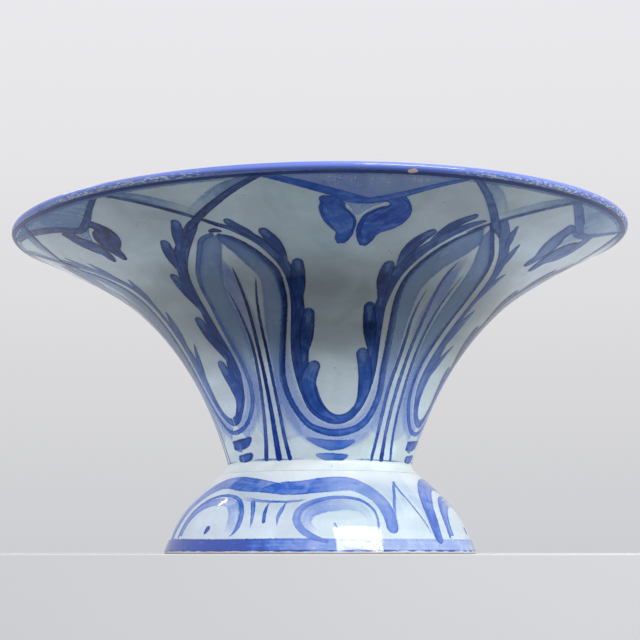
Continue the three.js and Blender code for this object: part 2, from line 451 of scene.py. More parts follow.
def wrapped_drawing_tree():
    """Repeats a flat drawing, wraps it round a turned wall and lets the repeats stray a little"""
    tree = bpy.data.node_groups.get("Wrapped drawing")
    if tree:
        return tree
    tree = bpy.data.node_groups.new("Wrapped drawing", "GeometryNodeTree")
    add_socket(tree, "Geometry", "NodeSocketGeometry", "OUTPUT")
    add_socket(tree, "Geometry", "NodeSocketGeometry")
    add_socket(tree, "Outline", "NodeSocketObject")
    add_socket(tree, "Copies", "NodeSocketInt", default_value=1)
    add_socket(tree, "Lift", "NodeSocketFloat", subtype="DISTANCE")
    add_socket(tree, "Stroke step", "NodeSocketFloat", subtype="DISTANCE")
    add_socket(tree, "Hand wobble", "NodeSocketFloat", subtype="DISTANCE")
    add_socket(tree, "Seed", "NodeSocketInt")
    add_lean_sockets(tree)
    add_socket(tree, "Material", "NodeSocketMaterial")
    given = tree.nodes.new("NodeGroupInput").outputs

    spacing = maths(tree, "DIVIDE", 360.0, given["Copies"])
    starts = add_node(tree, "GeometryNodeMeshLine", {
        "Count": given["Copies"], "Offset": combined(tree, spacing, 0.0, 0.0)}).outputs["Mesh"]
    repeats = add_node(tree, "GeometryNodeInstanceOnPoints", {
        "Points": starts, "Instance": given["Geometry"]}).outputs["Instances"]
    flat = add_node(tree, "GeometryNodeRealizeInstances", {"Geometry": repeats}).outputs["Geometry"]

    position = tree.nodes.new("GeometryNodeInputPosition").outputs["Position"]
    place = add_node(tree, "ShaderNodeSeparateXYZ", {0: position}).outputs
    turn = maths(tree, "RADIANS", place["X"])
    cosine = maths(tree, "COSINE", turn)
    around = combined(tree, cosine, maths(tree, "SINE", turn), 0.0)
    around = scaled_vector(tree, around, WOBBLE_AROUND)
    rise = combined(tree, 0.0, 0.0, maths(tree, "MULTIPLY", place["Y"], WOBBLE_ALONG))
    stray = add_node(tree, "ShaderNodeTexNoise", {
        "Vector": vector_maths(tree, "ADD", around, rise), "W": given["Seed"], "Scale": 1.0,
        "Detail": 1.0}, noise_dimensions="4D").outputs["Color"]
    stray = vector_maths(tree, "SUBTRACT", stray, (0.5, 0.5, 0.5))
    at_back = ramped(tree, cosine, WOBBLE_FROM, WOBBLE_TO, smooth=True)
    reach = maths(tree, "MULTIPLY", given["Hand wobble"], at_back)
    reach = maths(tree, "MULTIPLY", reach, WOBBLE_GAIN)
    strayed = add_node(tree, "ShaderNodeSeparateXYZ", {0: scaled_vector(tree, stray, reach)}).outputs
    length = maths(tree, "ADD", maths(tree, "MULTIPLY", place["Y"], MM), strayed["Y"])

    curve = add_node(tree, "GeometryNodeObjectInfo", {"Object": given["Outline"]}).outputs["Geometry"]
    sample = add_node(tree, "GeometryNodeSampleCurve", {"Curves": curve, "Length": length},
                      mode="LENGTH")
    outwards = vector_maths(tree, "CROSS_PRODUCT", (1.0, 0.0, 0.0), sample.outputs["Tangent"])
    lift = maths(tree, "MULTIPLY_ADD", place["Z"], given["Stroke step"], given["Lift"])
    raised = scaled_vector(tree, outwards, lift)
    raised = vector_maths(tree, "ADD", sample.outputs["Position"], raised)
    radius = add_node(tree, "ShaderNodeSeparateXYZ", {0: raised}).outputs["Y"]
    slip = maths(tree, "DIVIDE", strayed["X"], maths(tree, "ABSOLUTE", radius))
    wrapped = add_node(tree, "ShaderNodeVectorRotate", {
        "Vector": raised, "Angle": maths(tree, "ADD", turn, slip)},
        rotation_type="Z_AXIS").outputs["Vector"]
    shaped = add_node(tree, "GeometryNodeSetPosition", {
        "Geometry": flat, "Position": leaned(tree, wrapped, given)}).outputs["Geometry"]
    finish_tree(tree, shaped, given["Material"])
    return tree


def outline_object(name, outline):
    """A curve in the plane of the front, which the trees turn or wrap round"""
    curve = bpy.data.curves.new(name, "CURVE")
    curve.dimensions = "3D"
    spline = curve.splines.new("POLY")
    spline.points.add(len(outline) - 1)
    for spot, (radius, height) in zip(spline.points, outline):
        spot.co = (0, -radius * MM, height * MM, 1)
    holder = bpy.data.objects.new(name, curve)
    bpy.context.scene.collection.objects.link(holder)
    return holder


def shaped_by(tree, carrier, inputs):
    """The carrier's mesh as the tree makes it, plain and without the modifier"""
    modifier = carrier.modifiers.new(tree.name, "NODES")
    modifier.node_group = tree
    for item in tree.interface.items_tree:
        if item.in_out == "INPUT" and item.name in inputs:
            modifier[item.identifier] = inputs[item.name]
    bpy.context.view_layer.update()
    graph = bpy.context.evaluated_depsgraph_get()
    mesh = bpy.data.meshes.new_from_object(
        carrier.evaluated_get(graph), preserve_all_data_layers=True, depsgraph=graph)
    carrier.modifiers.remove(modifier)
    flat = carrier.data
    carrier.data = mesh
    bpy.data.meshes.remove(flat)
    mesh.name = carrier.name
    if not mesh.polygons:
        raise RuntimeError(f"{carrier.name} has no faces")
    return carrier


def lean_inputs(sizes, leans):
    return {
        "Lean": sizes.rim_lean if leans else 0.0, "Lean base": sizes.joint_top,
        "Lean height": sizes.bowl_height, "Lip radius": sizes.lip_radius,
    }


def turned_piece(name, outline, sizes, material, leans=False):
    outline_holder = outline_object(name + "_outline", outline)
    carrier = bpy.data.objects.new(name, bpy.data.meshes.new(name))
    bpy.context.scene.collection.objects.link(carrier)
    inputs = {"Outline": outline_holder, "Segments": sizes.segments, "Material": material}
    shaped_by(turned_form_tree(), carrier, inputs | lean_inputs(sizes, leans))
    bpy.data.objects.remove(outline_holder)
    return carrier


def seat(piece, slot, *nodes):
    """Lets a finished piece ride with the part, and hides the CAD nodes that it stands in for"""
    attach(piece, "root")
    if nodes:
        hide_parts(*nodes)


# The flat drawing

class Drawing:
    """Brush strokes and washes on an unrolled wall"""

    # Room between two points of a curve, and the narrowest that a stroke gets, in millimetres
    ROOM = 1.8
    NARROWEST = 0.04

    # Extra points near a stroke's ends, as shares of its width there
    END_SHARES = np.array([0.03, 0.1, 0.2, 0.34])

    # Width of a lane of faces in a stroke, and how far apart two strokes' textures lie
    LANE = 4
    SEED_STEP = 7.31

    # An end fades in, fades out or tapers over this many widths and these millimetres more
    FADE_IN, FADE_OUT, TAPER = (2.5, 3), (4, 6), (2.2, 2)
    TAPER_POWER = 0.6

    def __init__(self, outline, from_top=0.0):
        self.lengths = lengths_of(outline)
        self.radii = outline[:, 0]
        self.from_top = from_top
        self.places, self.faces, self.brush = [], [], []
        self.loads, self.edges, self.softs, self.tints = [], [], [], []
        self.tint = 0.0
        self.count = 0
        self.layer = 0

    def restart(self):
        """The next motif lies straight on the glaze again"""
        self.layer = 0

    def per_degree(self, along):
        """Millimetres in one degree round the wall"""
        return np.radians(np.interp(along, self.lengths, self.radii))

    def laid(self, points):
        """Points with the length measured up the outline"""
        points = np.array(points, float)
        if self.from_top:
            points[:, 1] = self.from_top - points[:, 1]
        return points

    def smooth(self, points, values=()):
        """A curve through points at even steps, with values that go along it"""
        flat = self.laid(points)
        scale = self.per_degree(flat[:, 1].mean())
        route = flat * [scale, 1]
        knots = lengths_of(route)
        if len(route) > 2:
            slopes = np.gradient(route, knots, axis=0)
        else:
            slopes = np.diff(route, axis=0)[[0, 0]] / knots[-1]
        count = max(3, int(knots[-1] / self.ROOM) + 1)
        stops = np.linspace(0, knots[-1], count)
        span = np.clip(np.searchsorted(knots, stops, side="right") - 1, 0, len(knots) - 2)
        gap = (knots[span + 1] - knots[span])[:, None]
        t = ((stops - knots[span]) / gap[:, 0])[:, None]
        curve = ((2 * t ** 3 - 3 * t ** 2 + 1) * route[span]
                 + (t ** 3 - 2 * t ** 2 + t) * gap * slopes[span]
                 + (3 * t ** 2 - 2 * t ** 3) * route[span + 1]
                 + (t ** 3 - t ** 2) * gap * slopes[span + 1])
        return curve / [scale, 1], [self.spread(value, knots, stops) for value in values]

    @staticmethod
    def spread(value, knots, stops):
        """A number, or one for each point, along the stops"""
        if np.isscalar(value):
            return np.full(len(stops), float(value))
        at = knots if len(value) == len(knots) else np.linspace(0, knots[-1], len(value))
        return np.interp(stops, at, value)

    def stroke(self, points, width, load=0.9, start="round", end="point", soft=0.45):
        """One stroke of the brush; width and load are a number or a list along it"""
        curve, (widths, loads) = self.smooth(points, (width, load))
        steps = np.gradient(curve, axis=0)
        per_degree = self.per_degree(curve[:, 1])
        forward = np.column_stack([steps[:, 0] * per_degree, steps[:, 1]])
        pace = np.maximum(np.linalg.norm(forward, axis=1), 1e-6)
        forward /= pace[:, None]
        along = np.concatenate([[0], np.cumsum((pace[1:] + pace[:-1]) / 2)])
        widest = widths.max()
        stops = np.unique(np.concatenate([
            along, widths[0] * self.END_SHARES,
            along[-1] - widths[-1] * self.END_SHARES]).clip(0, along[-1]))
        column = [np.interp(stops, along, values) for values in (
            curve[:, 0], curve[:, 1], forward[:, 0], forward[:, 1], widths, loads)]
        angle, length, run, rise, widths, loads = column
        widths = widths * self.cap(stops, widths[0], start)
        widths = np.maximum(widths * self.cap(stops[-1] - stops, widths[-1], end), self.NARROWEST)
        lanes = np.sin(np.linspace(-math.pi / 2, math.pi / 2, 2 * int(widest / self.LANE) + 5))
        across = widths[:, None] / 2 * lanes
        norm = np.maximum(np.hypot(run, rise), 1e-6)
        places = np.stack([
            angle[:, None] - rise[:, None] / norm[:, None] * across / self.per_degree(length)[:, None],
            length[:, None] + run[:, None] / norm[:, None] * across], axis=-1)
        edge = widths[:, None] / 2 * (1 - np.abs(lanes))
        fade = np.ones(len(stops))
        if start == "fade":
            fade *= np.clip(stops / self.reach(self.FADE_IN, widths[0]), 0, 1)
        if end == "fade":
            fade *= np.clip((stops[-1] - stops) / self.reach(self.FADE_OUT, widest), 0, 1)
        self.add(places, edge, (loads * fade)[:, None] * np.ones_like(edge), soft, stops, across)

    @staticmethod
    def reach(end, width):
        """Length of an end, from its widths and the millimetres more"""
        widths, more = end
        return widths * width + more

    def strokes(self, *strokes):
        """Strokes laid one over the other: route, width, load, ends and softness of each"""
        for stroke in strokes:
            self.stroke(*stroke)

    def cap(self, distance, width, kind):
        """How much of its width a stroke has at a distance from its end"""
        if kind == "round":
            inwards = (1 - distance / max(width / 2, 0.1)).clip(0, 1)
            return np.sqrt(np.clip(1 - inwards ** 2, 0, 1))
        if kind == "point":
            return np.clip(distance / self.reach(self.TAPER, width), 0, 1) ** self.TAPER_POWER
        return np.ones_like(distance)

    def wash(self, left, right, load=0.3, soft=1.5, lane_gap=2.6, closed=False):
        """A patch between two edges, filled by a wet brush; a closed one has no ends"""
        left, _ = self.smooth(left)
        right, _ = self.smooth(right)
        rows = max(len(left), len(right))
        t = np.linspace(0, 1, rows)
        sides = []
        for side in (left, right):
            at = np.linspace(0, 1, len(side))
            sides.append(np.column_stack([np.interp(t, at, column) for column in side.T]))
        left, right = sides
        middle = (left + right) / 2
        per_degree = self.per_degree(middle[:, 1])
        width = np.hypot((right[:, 0] - left[:, 0]) * per_degree, right[:, 1] - left[:, 1])
        lanes = np.linspace(0, 1, max(4, int(width.max() / lane_gap) + 2))
        over = lanes[None, :, None]
        places = left[:, None, :] * (1 - over) + right[:, None, :] * over
        steps = np.diff(middle, axis=0)
        pace = np.hypot(steps[:, 0] * (per_degree[1:] + per_degree[:-1]) / 2, steps[:, 1])
        stops = np.concatenate([[0], np.cumsum(pace)])
        to_side = width[:, None] * np.minimum(lanes, 1 - lanes)[None, :]
        to_end = np.minimum(stops, stops[-1] - stops)[:, None]
        edge = to_side if closed else np.minimum(to_side, to_end)
        loads = self.spread(load, np.linspace(0, 1, 2), t)
        across = width[:, None] * (lanes - 0.5)[None, :]
        self.add(places, edge, loads[:, None] * np.ones_like(edge), soft, stops, across)

    def add(self, places, edge, loads, soft, along, across):
        rows, lanes = edge.shape
        first = len(self.places)
        layer = float(self.layer)
        self.layer += 1
        self.count += 1
        seed = self.count * self.SEED_STEP
        flat = places.reshape(-1, 2)
        self.places.extend((x, y, layer) for x, y in flat)
        self.edges.extend(edge.ravel())
        self.loads.extend(loads.ravel())
        self.softs.extend([soft] * edge.size)
        self.tints.extend([self.tint] * edge.size)
        stretch = np.repeat(along, lanes)
        self.brush.extend(zip(stretch, across.ravel(), [seed] * edge.size))
        turn = np.cross(flat[1] - flat[0], flat[lanes] - flat[0])
        for row in range(rows - 1):
            for lane in range(lanes - 1):
                a = first + row * lanes + lane
                corners = (a, a + 1, a + lanes + 1, a + lanes)
                self.faces.append(corners if turn > 0 else corners[::-1])

    def object(self, name):
        mesh = bpy.data.meshes.new(name)
        mesh.from_pydata(self.places, [], self.faces)
        marks = {"edge": self.edges, "load": self.loads, "soft": self.softs, "tint": self.tints}
        for key, values in marks.items():
            mark = mesh.attributes.new(key, "FLOAT", "POINT")
            mark.data.foreach_set("value", np.array(values, np.float32))
        mark = mesh.attributes.new("brush", "FLOAT_VECTOR", "POINT")
        mark.data.foreach_set("vector", np.array(self.brush, np.float32).ravel())
        carrier = bpy.data.objects.new(name, mesh)
        bpy.context.scene.collection.objects.link(carrier)
        return carrier


def painted_piece(name, drawing, outline, settings, material, slot, copies, lifts, leans=True):
    """Wraps a drawing round its wall, some lifts over the glaze, and seats it on the part"""
    outline_holder = outline_object(name + "_outline", outline)
    inputs = {
        "Outline": outline_holder, "Copies": copies, "Lift": PAINT_LIFT * lifts,
        "Stroke step": STROKE_STEP, "Hand wobble": settings.hand_wobble, "Seed": settings.seed,
        "Material": material,
    }
    piece = shaped_by(wrapped_drawing_tree(), drawing.object(name),
                      inputs | lean_inputs(settings.sizes, leans))
    bpy.data.objects.remove(outline_holder)
    seat(piece, slot)


# Shader node groups

# Heights between which a painted shade darkens the outside of the bowl's shoulder: from, full, full, to;
# and how far its edges wander
SHOULDER_PAINTED_SHADE = (0.096, 0.126, 0.144, 0.174)
SHOULDER_WANDER = 0.02

# Scales of the textures in the glaze, per metre
RING_SCALE, PEEL_SCALE, CLOUD_SCALE = 130.0, 330.0, 14.0
PINHOLE_SCALE, PINHOLE_PATCH_SCALE = 210.0, 60.0

# Throwing rings run round the pot, so their texture changes this much slower round it
RING_DRAW = 0.08
PINHOLE_DEPTH = -0.00002
PINHOLE_DULLNESS = 0.3
CLOUD_DULLNESS = 0.05
PLAIN_GLOSS = 0.09


def glaze_surface_group():
    """Unevenness of a fired glaze: throwing rings, orange peel, pinholes and cloudy thickness, and the
    painted shade over the shoulder
    """
    tree = bpy.data.node_groups.get("Glaze surface")
    if tree:
        return tree
    tree = bpy.data.node_groups.new("Glaze surface", "ShaderNodeTree")
    add_socket(tree, "Place", "NodeSocketVector")
    add_socket(tree, "Ring height", "NodeSocketFloat", default_value=0.00003)
    add_socket(tree, "Peel height", "NodeSocketFloat", default_value=0.000006)
    add_socket(tree, "Gloss", "NodeSocketFloat", default_value=PLAIN_GLOSS)
    for name in ("Height", "Roughness", "Pinholes", "Clouds", "Shoulder"):
        add_socket(tree, name, "NodeSocketFloat", "OUTPUT")
    given = tree.nodes.new("NodeGroupInput").outputs
    parts = add_node(tree, "ShaderNodeSeparateXYZ", {0: given["Place"]}).outputs
    ring_place = combined(tree, maths(tree, "MULTIPLY", parts["X"], RING_DRAW),
                          maths(tree, "MULTIPLY", parts["Y"], RING_DRAW), parts["Z"])
    rings = noise(tree, ring_place, RING_SCALE, 1.0)
    peel = noise(tree, given["Place"], PEEL_SCALE, 2.0)
    clouds = noise(tree, given["Place"], CLOUD_SCALE, 3.0, 0.6)
    cells = add_node(tree, "ShaderNodeTexVoronoi", {"Vector": given["Place"], "Scale": PINHOLE_SCALE},
                     feature="F1").outputs
    rare = ramped(tree, noise(tree, given["Place"], PINHOLE_PATCH_SCALE, 0.0), 0.62, 0.66)
    pinholes = maths(tree, "MULTIPLY", ramped(tree, cells["Distance"], 0.13, 0.05), rare)
    height = maths(tree, "MULTIPLY", rings, given["Ring height"])
    height = maths(tree, "MULTIPLY_ADD", peel, given["Peel height"], height)
    height = maths(tree, "MULTIPLY_ADD", pinholes, PINHOLE_DEPTH, height)
    cloudy = ramped(tree, clouds, 0.35, 0.7)
    dull = maths(tree, "MULTIPLY_ADD", cloudy, CLOUD_DULLNESS, given["Gloss"])
    roughness = maths(tree, "MULTIPLY_ADD", pinholes, PINHOLE_DULLNESS, dull)
    # Painted shade over the shoulder, whose edges wander with the clouds; the Shoulder output carries it
    wander = maths(tree, "SUBTRACT", clouds, 0.5)
    uneven = maths(tree, "MULTIPLY_ADD", wander, SHOULDER_WANDER, parts["Z"])
    below = ramped(tree, uneven, SHOULDER_PAINTED_SHADE[0], SHOULDER_PAINTED_SHADE[1], smooth=True)
    above = ramped(tree, uneven, SHOULDER_PAINTED_SHADE[3], SHOULDER_PAINTED_SHADE[2], smooth=True)
    add_node(tree, "NodeGroupOutput", {
        "Height": height, "Roughness": roughness, "Pinholes": pinholes, "Clouds": clouds,
        "Shoulder": maths(tree, "MULTIPLY", below, above)})
    return tree


# Textures of a stroke, in its own millimetres: ragged rim, hair marks, pools and their strength
RAGGED_SCALE, RAGGED_REACH, MOST_RAGGED = 0.55, 1.5, 0.9
HAIR_ALONG, HAIR_ACROSS, HAIR_GAIN = 0.05, 0.7, 0.55
POOL_SCALE = 0.13
STREAK_GAIN = 2.4

# Cobalt pools along a stroke's border, between these depths of its soft edge
BORDER_IN, BORDER_OUT, BORDER_GAIN = 2.6, 0.8, 0.4
LEAST_RICHNESS = 0.4

# Share of the glaze that still shows through one load of cobalt
SHOWS_THROUGH = 0.07

# Where the lip is rubbed bare: loads of a worn and a whole place, the rub's texture and reach
WHOLE_LOAD, WORN_LOAD = 0.73, 0.62
RUB_ALONG, RUB_ACROSS, RUB_FROM, RUB_TO = 0.35, 1.2, 0.49, 0.56
RUB_EDGE, RUB_FULL = 4.6, 2.0


def brush_mark_group():
    """How much cobalt a stroke left: a ragged rim, streaks along the hair and pooled borders"""
    tree = bpy.data.node_groups.get("Brush mark")
    if tree:
        return tree
    tree = bpy.data.node_groups.new("Brush mark", "ShaderNodeTree")
    for name in ("Edge", "Load", "Soft"):
        add_socket(tree, name, "NodeSocketFloat")
    add_socket(tree, "Brush", "NodeSocketVector")
    add_socket(tree, "Streaks", "NodeSocketFloat", default_value=0.5)
    add_socket(tree, "Wear", "NodeSocketFloat", default_value=0.0)
    for name in ("Coverage", "Density"):
        add_socket(tree, name, "NodeSocketFloat", "OUTPUT")
    given = tree.nodes.new("NodeGroupInput").outputs
    parts = add_node(tree, "ShaderNodeSeparateXYZ", {0: given["Brush"]}).outputs
    ragged = noise(tree, given["Brush"], RAGGED_SCALE, 3.0)
    shake = maths(tree, "MULTIPLY", maths(tree, "SUBTRACT", ragged, 0.45), RAGGED_REACH)
    frayed = maths(tree, "MINIMUM", given["Soft"], MOST_RAGGED)
    edge = maths(tree, "MULTIPLY_ADD", shake, frayed, given["Edge"])
    rim = ramped(tree, maths(tree, "DIVIDE", edge, given["Soft"]), 0.0, 1.0, smooth=True)
    hair = combined(tree, maths(tree, "MULTIPLY", parts["X"], HAIR_ALONG),
                    maths(tree, "MULTIPLY", parts["Y"], HAIR_ACROSS), parts["Z"])
    streak = maths(tree, "SUBTRACT", noise(tree, hair, 1.0, 2.0), 0.5)
    streak = maths(tree, "MULTIPLY", streak, HAIR_GAIN)
    pools = maths(tree, "SUBTRACT", noise(tree, given["Brush"], POOL_SCALE, 3.0, 0.8), 0.5)
    uneven = maths(tree, "MULTIPLY", maths(tree, "ADD", streak, pools), given["Streaks"])
    border = ramped(tree, edge, maths(tree, "MULTIPLY", given["Soft"], BORDER_IN),
                    maths(tree, "MULTIPLY", given["Soft"], BORDER_OUT), 0.0, BORDER_GAIN, smooth=True)
    richness = maths(tree, "ADD", maths(tree, "MULTIPLY_ADD", uneven, STREAK_GAIN, 1.0), border)
    richness = maths(tree, "MAXIMUM", richness, LEAST_RICHNESS)
    density = maths(tree, "MULTIPLY", richness, given["Load"])
    thin = maths(tree, "POWER", SHOWS_THROUGH, density)
    coverage = maths(tree, "MULTIPLY", rim, maths(tree, "SUBTRACT", 1.0, thin))
    rub = combined(tree, maths(tree, "MULTIPLY", parts["X"], RUB_ALONG),
                   maths(tree, "MULTIPLY", parts["Y"], RUB_ACROSS), 3.7)
    patch = ramped(tree, given["Load"], WHOLE_LOAD, WORN_LOAD)
    rubbed = ramped(tree, noise(tree, rub, 1.0, 3.0), RUB_FROM, RUB_TO)
    low = ramped(tree, given["Edge"], RUB_EDGE, RUB_FULL)
    worn = maths(tree, "MULTIPLY", rubbed, patch)
    worn = maths(tree, "MULTIPLY", worn, maths(tree, "MULTIPLY", low, given["Wear"]))
    kept = maths(tree, "SUBTRACT", 1.0, maths(tree, "MINIMUM", worn, 1.0))
    coverage = maths(tree, "MULTIPLY", coverage, kept)
    add_node(tree, "NodeGroupOutput", {"Coverage": coverage, "Density": density})
    return tree


# Materials

# How strongly each glaze mirrors the room, and how rough its surface is
PLAIN_MIRROR = 0.5
BOWL_MIRROR = 0.2
FOOT_MIRROR, FOOT_GLOSS = 0.85, 0.03
LIP_MIRROR, LIP_GLOSS = 1.0, 0.01
GLAZE_IOR = 1.52

# Tones of the glaze: the span of the texture that counts, and the factors at its two ends
CLOUDY = (0.38, 0.7, 0.0, 0.22)
CURDLED = (0.35, 0.7, 0.93, 1.08)
GREENISH = (0.4, 0.65, 1.0, 0.95)
STREAKY = (0.3, 0.72, 0.9, 1.07)
GRAINY = (0.2, 0.8, 0.96, 1.03)
GRITTY = (0.25, 0.75, 0.72, 1.12)

# Scales of those textures, per metre; streaks run down the wall
CURDLE_SCALE, GREEN_SCALE, GRAIN_SCALE, GRIT_SCALE = 30.0, 9.0, 900.0, 420.0
STREAK_SCALES = (16.0, 16.0, 95.0)

# Heights between which the foot's glaze turns to the painted lighter tone of the neck, set against the
# shade under the bowl
NECK_FROM, NECK_TO = 0.036, 0.046

# The glaze's lower edge wanders by this much and is this soft; it lies far below a form that is
# glazed all over
CRAWL_SCALE, CRAWL, CRAWL_SOFT = 190.0, 0.0011, 0.00012
NEVER_BARE = -1.0
BARE_DULLNESS = 0.6
PINHOLE_STRENGTH, PINHOLE_COLOUR = 0.6, (0.16, 0.15, 0.13)

# The shoulder's painted shade stops at the outline's row at the lip; a form without a lip has fewer rows
ALL_ROWS = 1000.0
SHOULDER_STRENGTH = 0.95

# Densities of cobalt: from a pale wash to a full tone, and on to pooled
WASH_DENSITY, FULL_DENSITY = 0.12, 0.75
POOL_FROM, POOL_TO = 0.7, 1.25

# Heights between which the cobalt turns clearer down the wall, how much, and the painted shade that darkens
# it on the shoulder above
CLEARER_FROM, CLEARER_TO, CLEARER = 0.12, 0.07, 0.6
SHOULDER_ON_COBALT = -0.42


def new_material(name, mirror=PLAIN_MIRROR):
    material = bpy.data.materials.new(name)
    material.use_nodes = True
    tree = material.node_tree
    shader = tree.nodes["Principled BSDF"]
    shader.inputs["IOR"].default_value = GLAZE_IOR
    shader.inputs["Specular IOR Level"].default_value = mirror
    return material, tree, shader


def object_place(tree):
    return tree.nodes.new("ShaderNodeTexCoord").outputs["Object"]


def group_node(tree, group, inputs):
    return add_node(tree, "ShaderNodeGroup", inputs, node_tree=group).outputs


def attribute(tree, name, output="Fac"):
    return add_node(tree, "ShaderNodeAttribute", attribute_name=name).outputs[output]


def mixed(tree, factor, first, second, blend="MIX"):
    node = add_node(tree, "ShaderNodeMix", data_type="RGBA", blend_type=blend)
    for socket, value in ((node.inputs[0], factor), (node.inputs[6], first), (node.inputs[7], second)):
        if isinstance(value, bpy.types.NodeSocket):
            tree.links.new(value, socket)
        elif isinstance(value, (int, float)):
            socket.default_value = value
        else:
            socket.default_value = (*value, 1.0)
    return node.outputs[2]


def bumped(tree, height):
    inputs = {"Height": height, "Strength": 1.0, "Distance": 1.0}
    return add_node(tree, "ShaderNodeBump", inputs).outputs["Normal"]


def connect(tree, shader, links):
    for name, value in links.items():
        tree.links.new(value, shader.inputs[name])


def glaze_material(name, glaze, shade, clay, bare_below=NEVER_BARE, mirror=PLAIN_MIRROR, neck=None,
                   gloss=PLAIN_GLOSS, lip_row=ALL_ROWS):
    """Tin glaze with a painted shade over the outside's shoulder and, where a neck colour is given, a
    painted lighter tone round the neck, with bare clay under a given height
    """
    material, tree, shader = new_material(name, mirror)
    place = object_place(tree)
    surface = group_node(tree, glaze_surface_group(), {"Place": place, "Gloss": gloss})
    cloudy = ramped(tree, surface["Clouds"], *CLOUDY, smooth=True)
    # The stronger of the painted shoulder shade, kept to the outside, and the glaze's cloudy tone pulls the
    # colour towards the shade colour
    outside = ramped(tree, attribute(tree, "outline_row"), lip_row + 1.0, lip_row, 0.0, SHOULDER_STRENGTH)
    thin = maths(tree, "MAXIMUM", maths(tree, "MULTIPLY", surface["Shoulder"], outside), cloudy)
    colour = mixed(tree, thin, glaze, shade)
    curdle = ramped(tree, noise(tree, place, CURDLE_SCALE, 4.0, 1.5), *CURDLED)
    green = ramped(tree, noise(tree, place, GREEN_SCALE, 2.0), *GREENISH)
    cast = combined(tree, maths(tree, "MULTIPLY", curdle, green), curdle,
                    maths(tree, "MULTIPLY", curdle, green))
    colour = mixed(tree, 1.0, colour, cast, "MULTIPLY")
    # Painted light: the glaze turns lighter round the neck, against the shade under the bowl
    if neck:
        rise = height_of(tree, place)
        colour = mixed(tree, ramped(tree, rise, NECK_FROM, NECK_TO, smooth=True), colour, neck)
    squeezed = vector_maths(tree, "MULTIPLY", place, STREAK_SCALES)
    streaks = ramped(tree, noise(tree, squeezed, 1.0, 3.0), *STREAKY)
    grain = ramped(tree, noise(tree, place, GRAIN_SCALE, 1.0), *GRAINY)
    tone = maths(tree, "MULTIPLY", streaks, grain)
    colour = mixed(tree, 1.0, colour, grey(tree, tone), "MULTIPLY")
    specks = maths(tree, "MULTIPLY", surface["Pinholes"], PINHOLE_STRENGTH)
    colour = mixed(tree, specks, colour, PINHOLE_COLOUR)
    height = height_of(tree, place)
    crawl = noise(tree, place, CRAWL_SCALE, 2.0)
    crawl = maths(tree, "MULTIPLY_ADD", crawl, CRAWL, bare_below - CRAWL / 2)
    bare = ramped(tree, maths(tree, "SUBTRACT", crawl, height), -CRAWL_SOFT, CRAWL_SOFT)
    grit = ramped(tree, noise(tree, place, GRIT_SCALE, 3.0), *GRITTY)
    body = mixed(tree, 1.0, clay, grey(tree, grit), "MULTIPLY")
    colour = mixed(tree, bare, colour, body)
    dull = maths(tree, "MULTIPLY", bare, BARE_DULLNESS)
    roughness = maths(tree, "ADD", surface["Roughness"], dull)
    connect(tree, shader, {"Base Color": colour, "Roughness": roughness,
                           "Normal": bumped(tree, surface["Height"])})
    return material


def cobalt_material(name, plain, vivid, streaks=0.5, gloss=PLAIN_GLOSS, wear=0.0, mirror=PLAIN_MIRROR):
    """Cobalt laid by a brush, thin in places and pooled in others; plain and vivid are its tones"""
    material, tree, shader = new_material(name, mirror)
    place = object_place(tree)
    surface = group_node(tree, glaze_surface_group(), {"Place": place, "Gloss": gloss})
    mark = group_node(tree, brush_mark_group(), {
        "Edge": attribute(tree, "edge"), "Load": attribute(tree, "load"),
        "Soft": attribute(tree, "soft"), "Brush": attribute(tree, "brush", "Vector"),
        "Streaks": streaks, "Wear": wear})
    strength = ramped(tree, mark["Density"], WASH_DENSITY, FULL_DENSITY)
    pooled = ramped(tree, mark["Density"], POOL_FROM, POOL_TO)
    height = height_of(tree, place)
    tint = attribute(tree, "tint")
    clearer = ramped(tree, height, CLEARER_FROM, CLEARER_TO, 0.0, CLEARER)
    tint = maths(tree, "MAXIMUM", tint, clearer)
    pale, middle, dark = (mixed(tree, tint, first, second) for first, second in zip(plain, vivid))
    colour = mixed(tree, pooled, mixed(tree, strength, pale, middle), dark)
    # Painted shade: cobalt on the shoulder darkens with the glaze's painted shade there
    shadow = maths(tree, "MULTIPLY_ADD", surface["Shoulder"], SHOULDER_ON_COBALT, 1.0)
    colour = mixed(tree, 1.0, colour, grey(tree, shadow), "MULTIPLY")
    connect(tree, shader, {"Base Color": colour, "Alpha": mark["Coverage"],
                           "Roughness": surface["Roughness"],
                           "Normal": bumped(tree, surface["Height"])})
    return material


def settings_of(context):
    return context.scene.footed_bowl


def cobalt_of(colours, name="Cobalt brushwork", streaks=0.5, mirror=BOWL_MIRROR, gloss=PLAIN_GLOSS):
    """Cobalt in the colours that the settings give, built once under each name"""
    plain = (colours.cobalt_pale, colours.cobalt, colours.cobalt_dark)
    vivid = (colours.vivid_pale, colours.vivid, colours.vivid_dark)
    return bpy.data.materials.get(name) or cobalt_material(
        name, plain, vivid, streaks, gloss, mirror=mirror)


# The painting on the bowl. Points are (degrees, millimetres up the wall).

# Load along a leaf, and the darker pool at its tip: shares of the first step and of its width
LEAF_LOADS = (0.8, 1.0, 1.15, 1.0, 0.4)
POOL_STOPS, POOL_WIDTHS, POOL_LOAD = (0.16, 0.6, 1.1), (0.62, 0.5, 0.3), 1.2


def paint_arm(art, outer, inner, load, leaves):
    """One arm of a garland: a full stroke between two edges, then a row of leaves laid on it"""
    art.restart()
    art.wash(outer, inner, load, 0.5)
    for route, widths, strength in leaves:
        art.stroke(route, widths, [strength * share for share in LEAF_LOADS], "round", "point")
        tip, after = np.array(route[0]), np.array(route[1])
        pool = [tip + (after - tip) * share for share in POOL_STOPS]
        art.stroke(pool, [share * widths[1] for share in POOL_WIDTHS], strength * POOL_LOAD,
                   "round", "fade", 1.1)


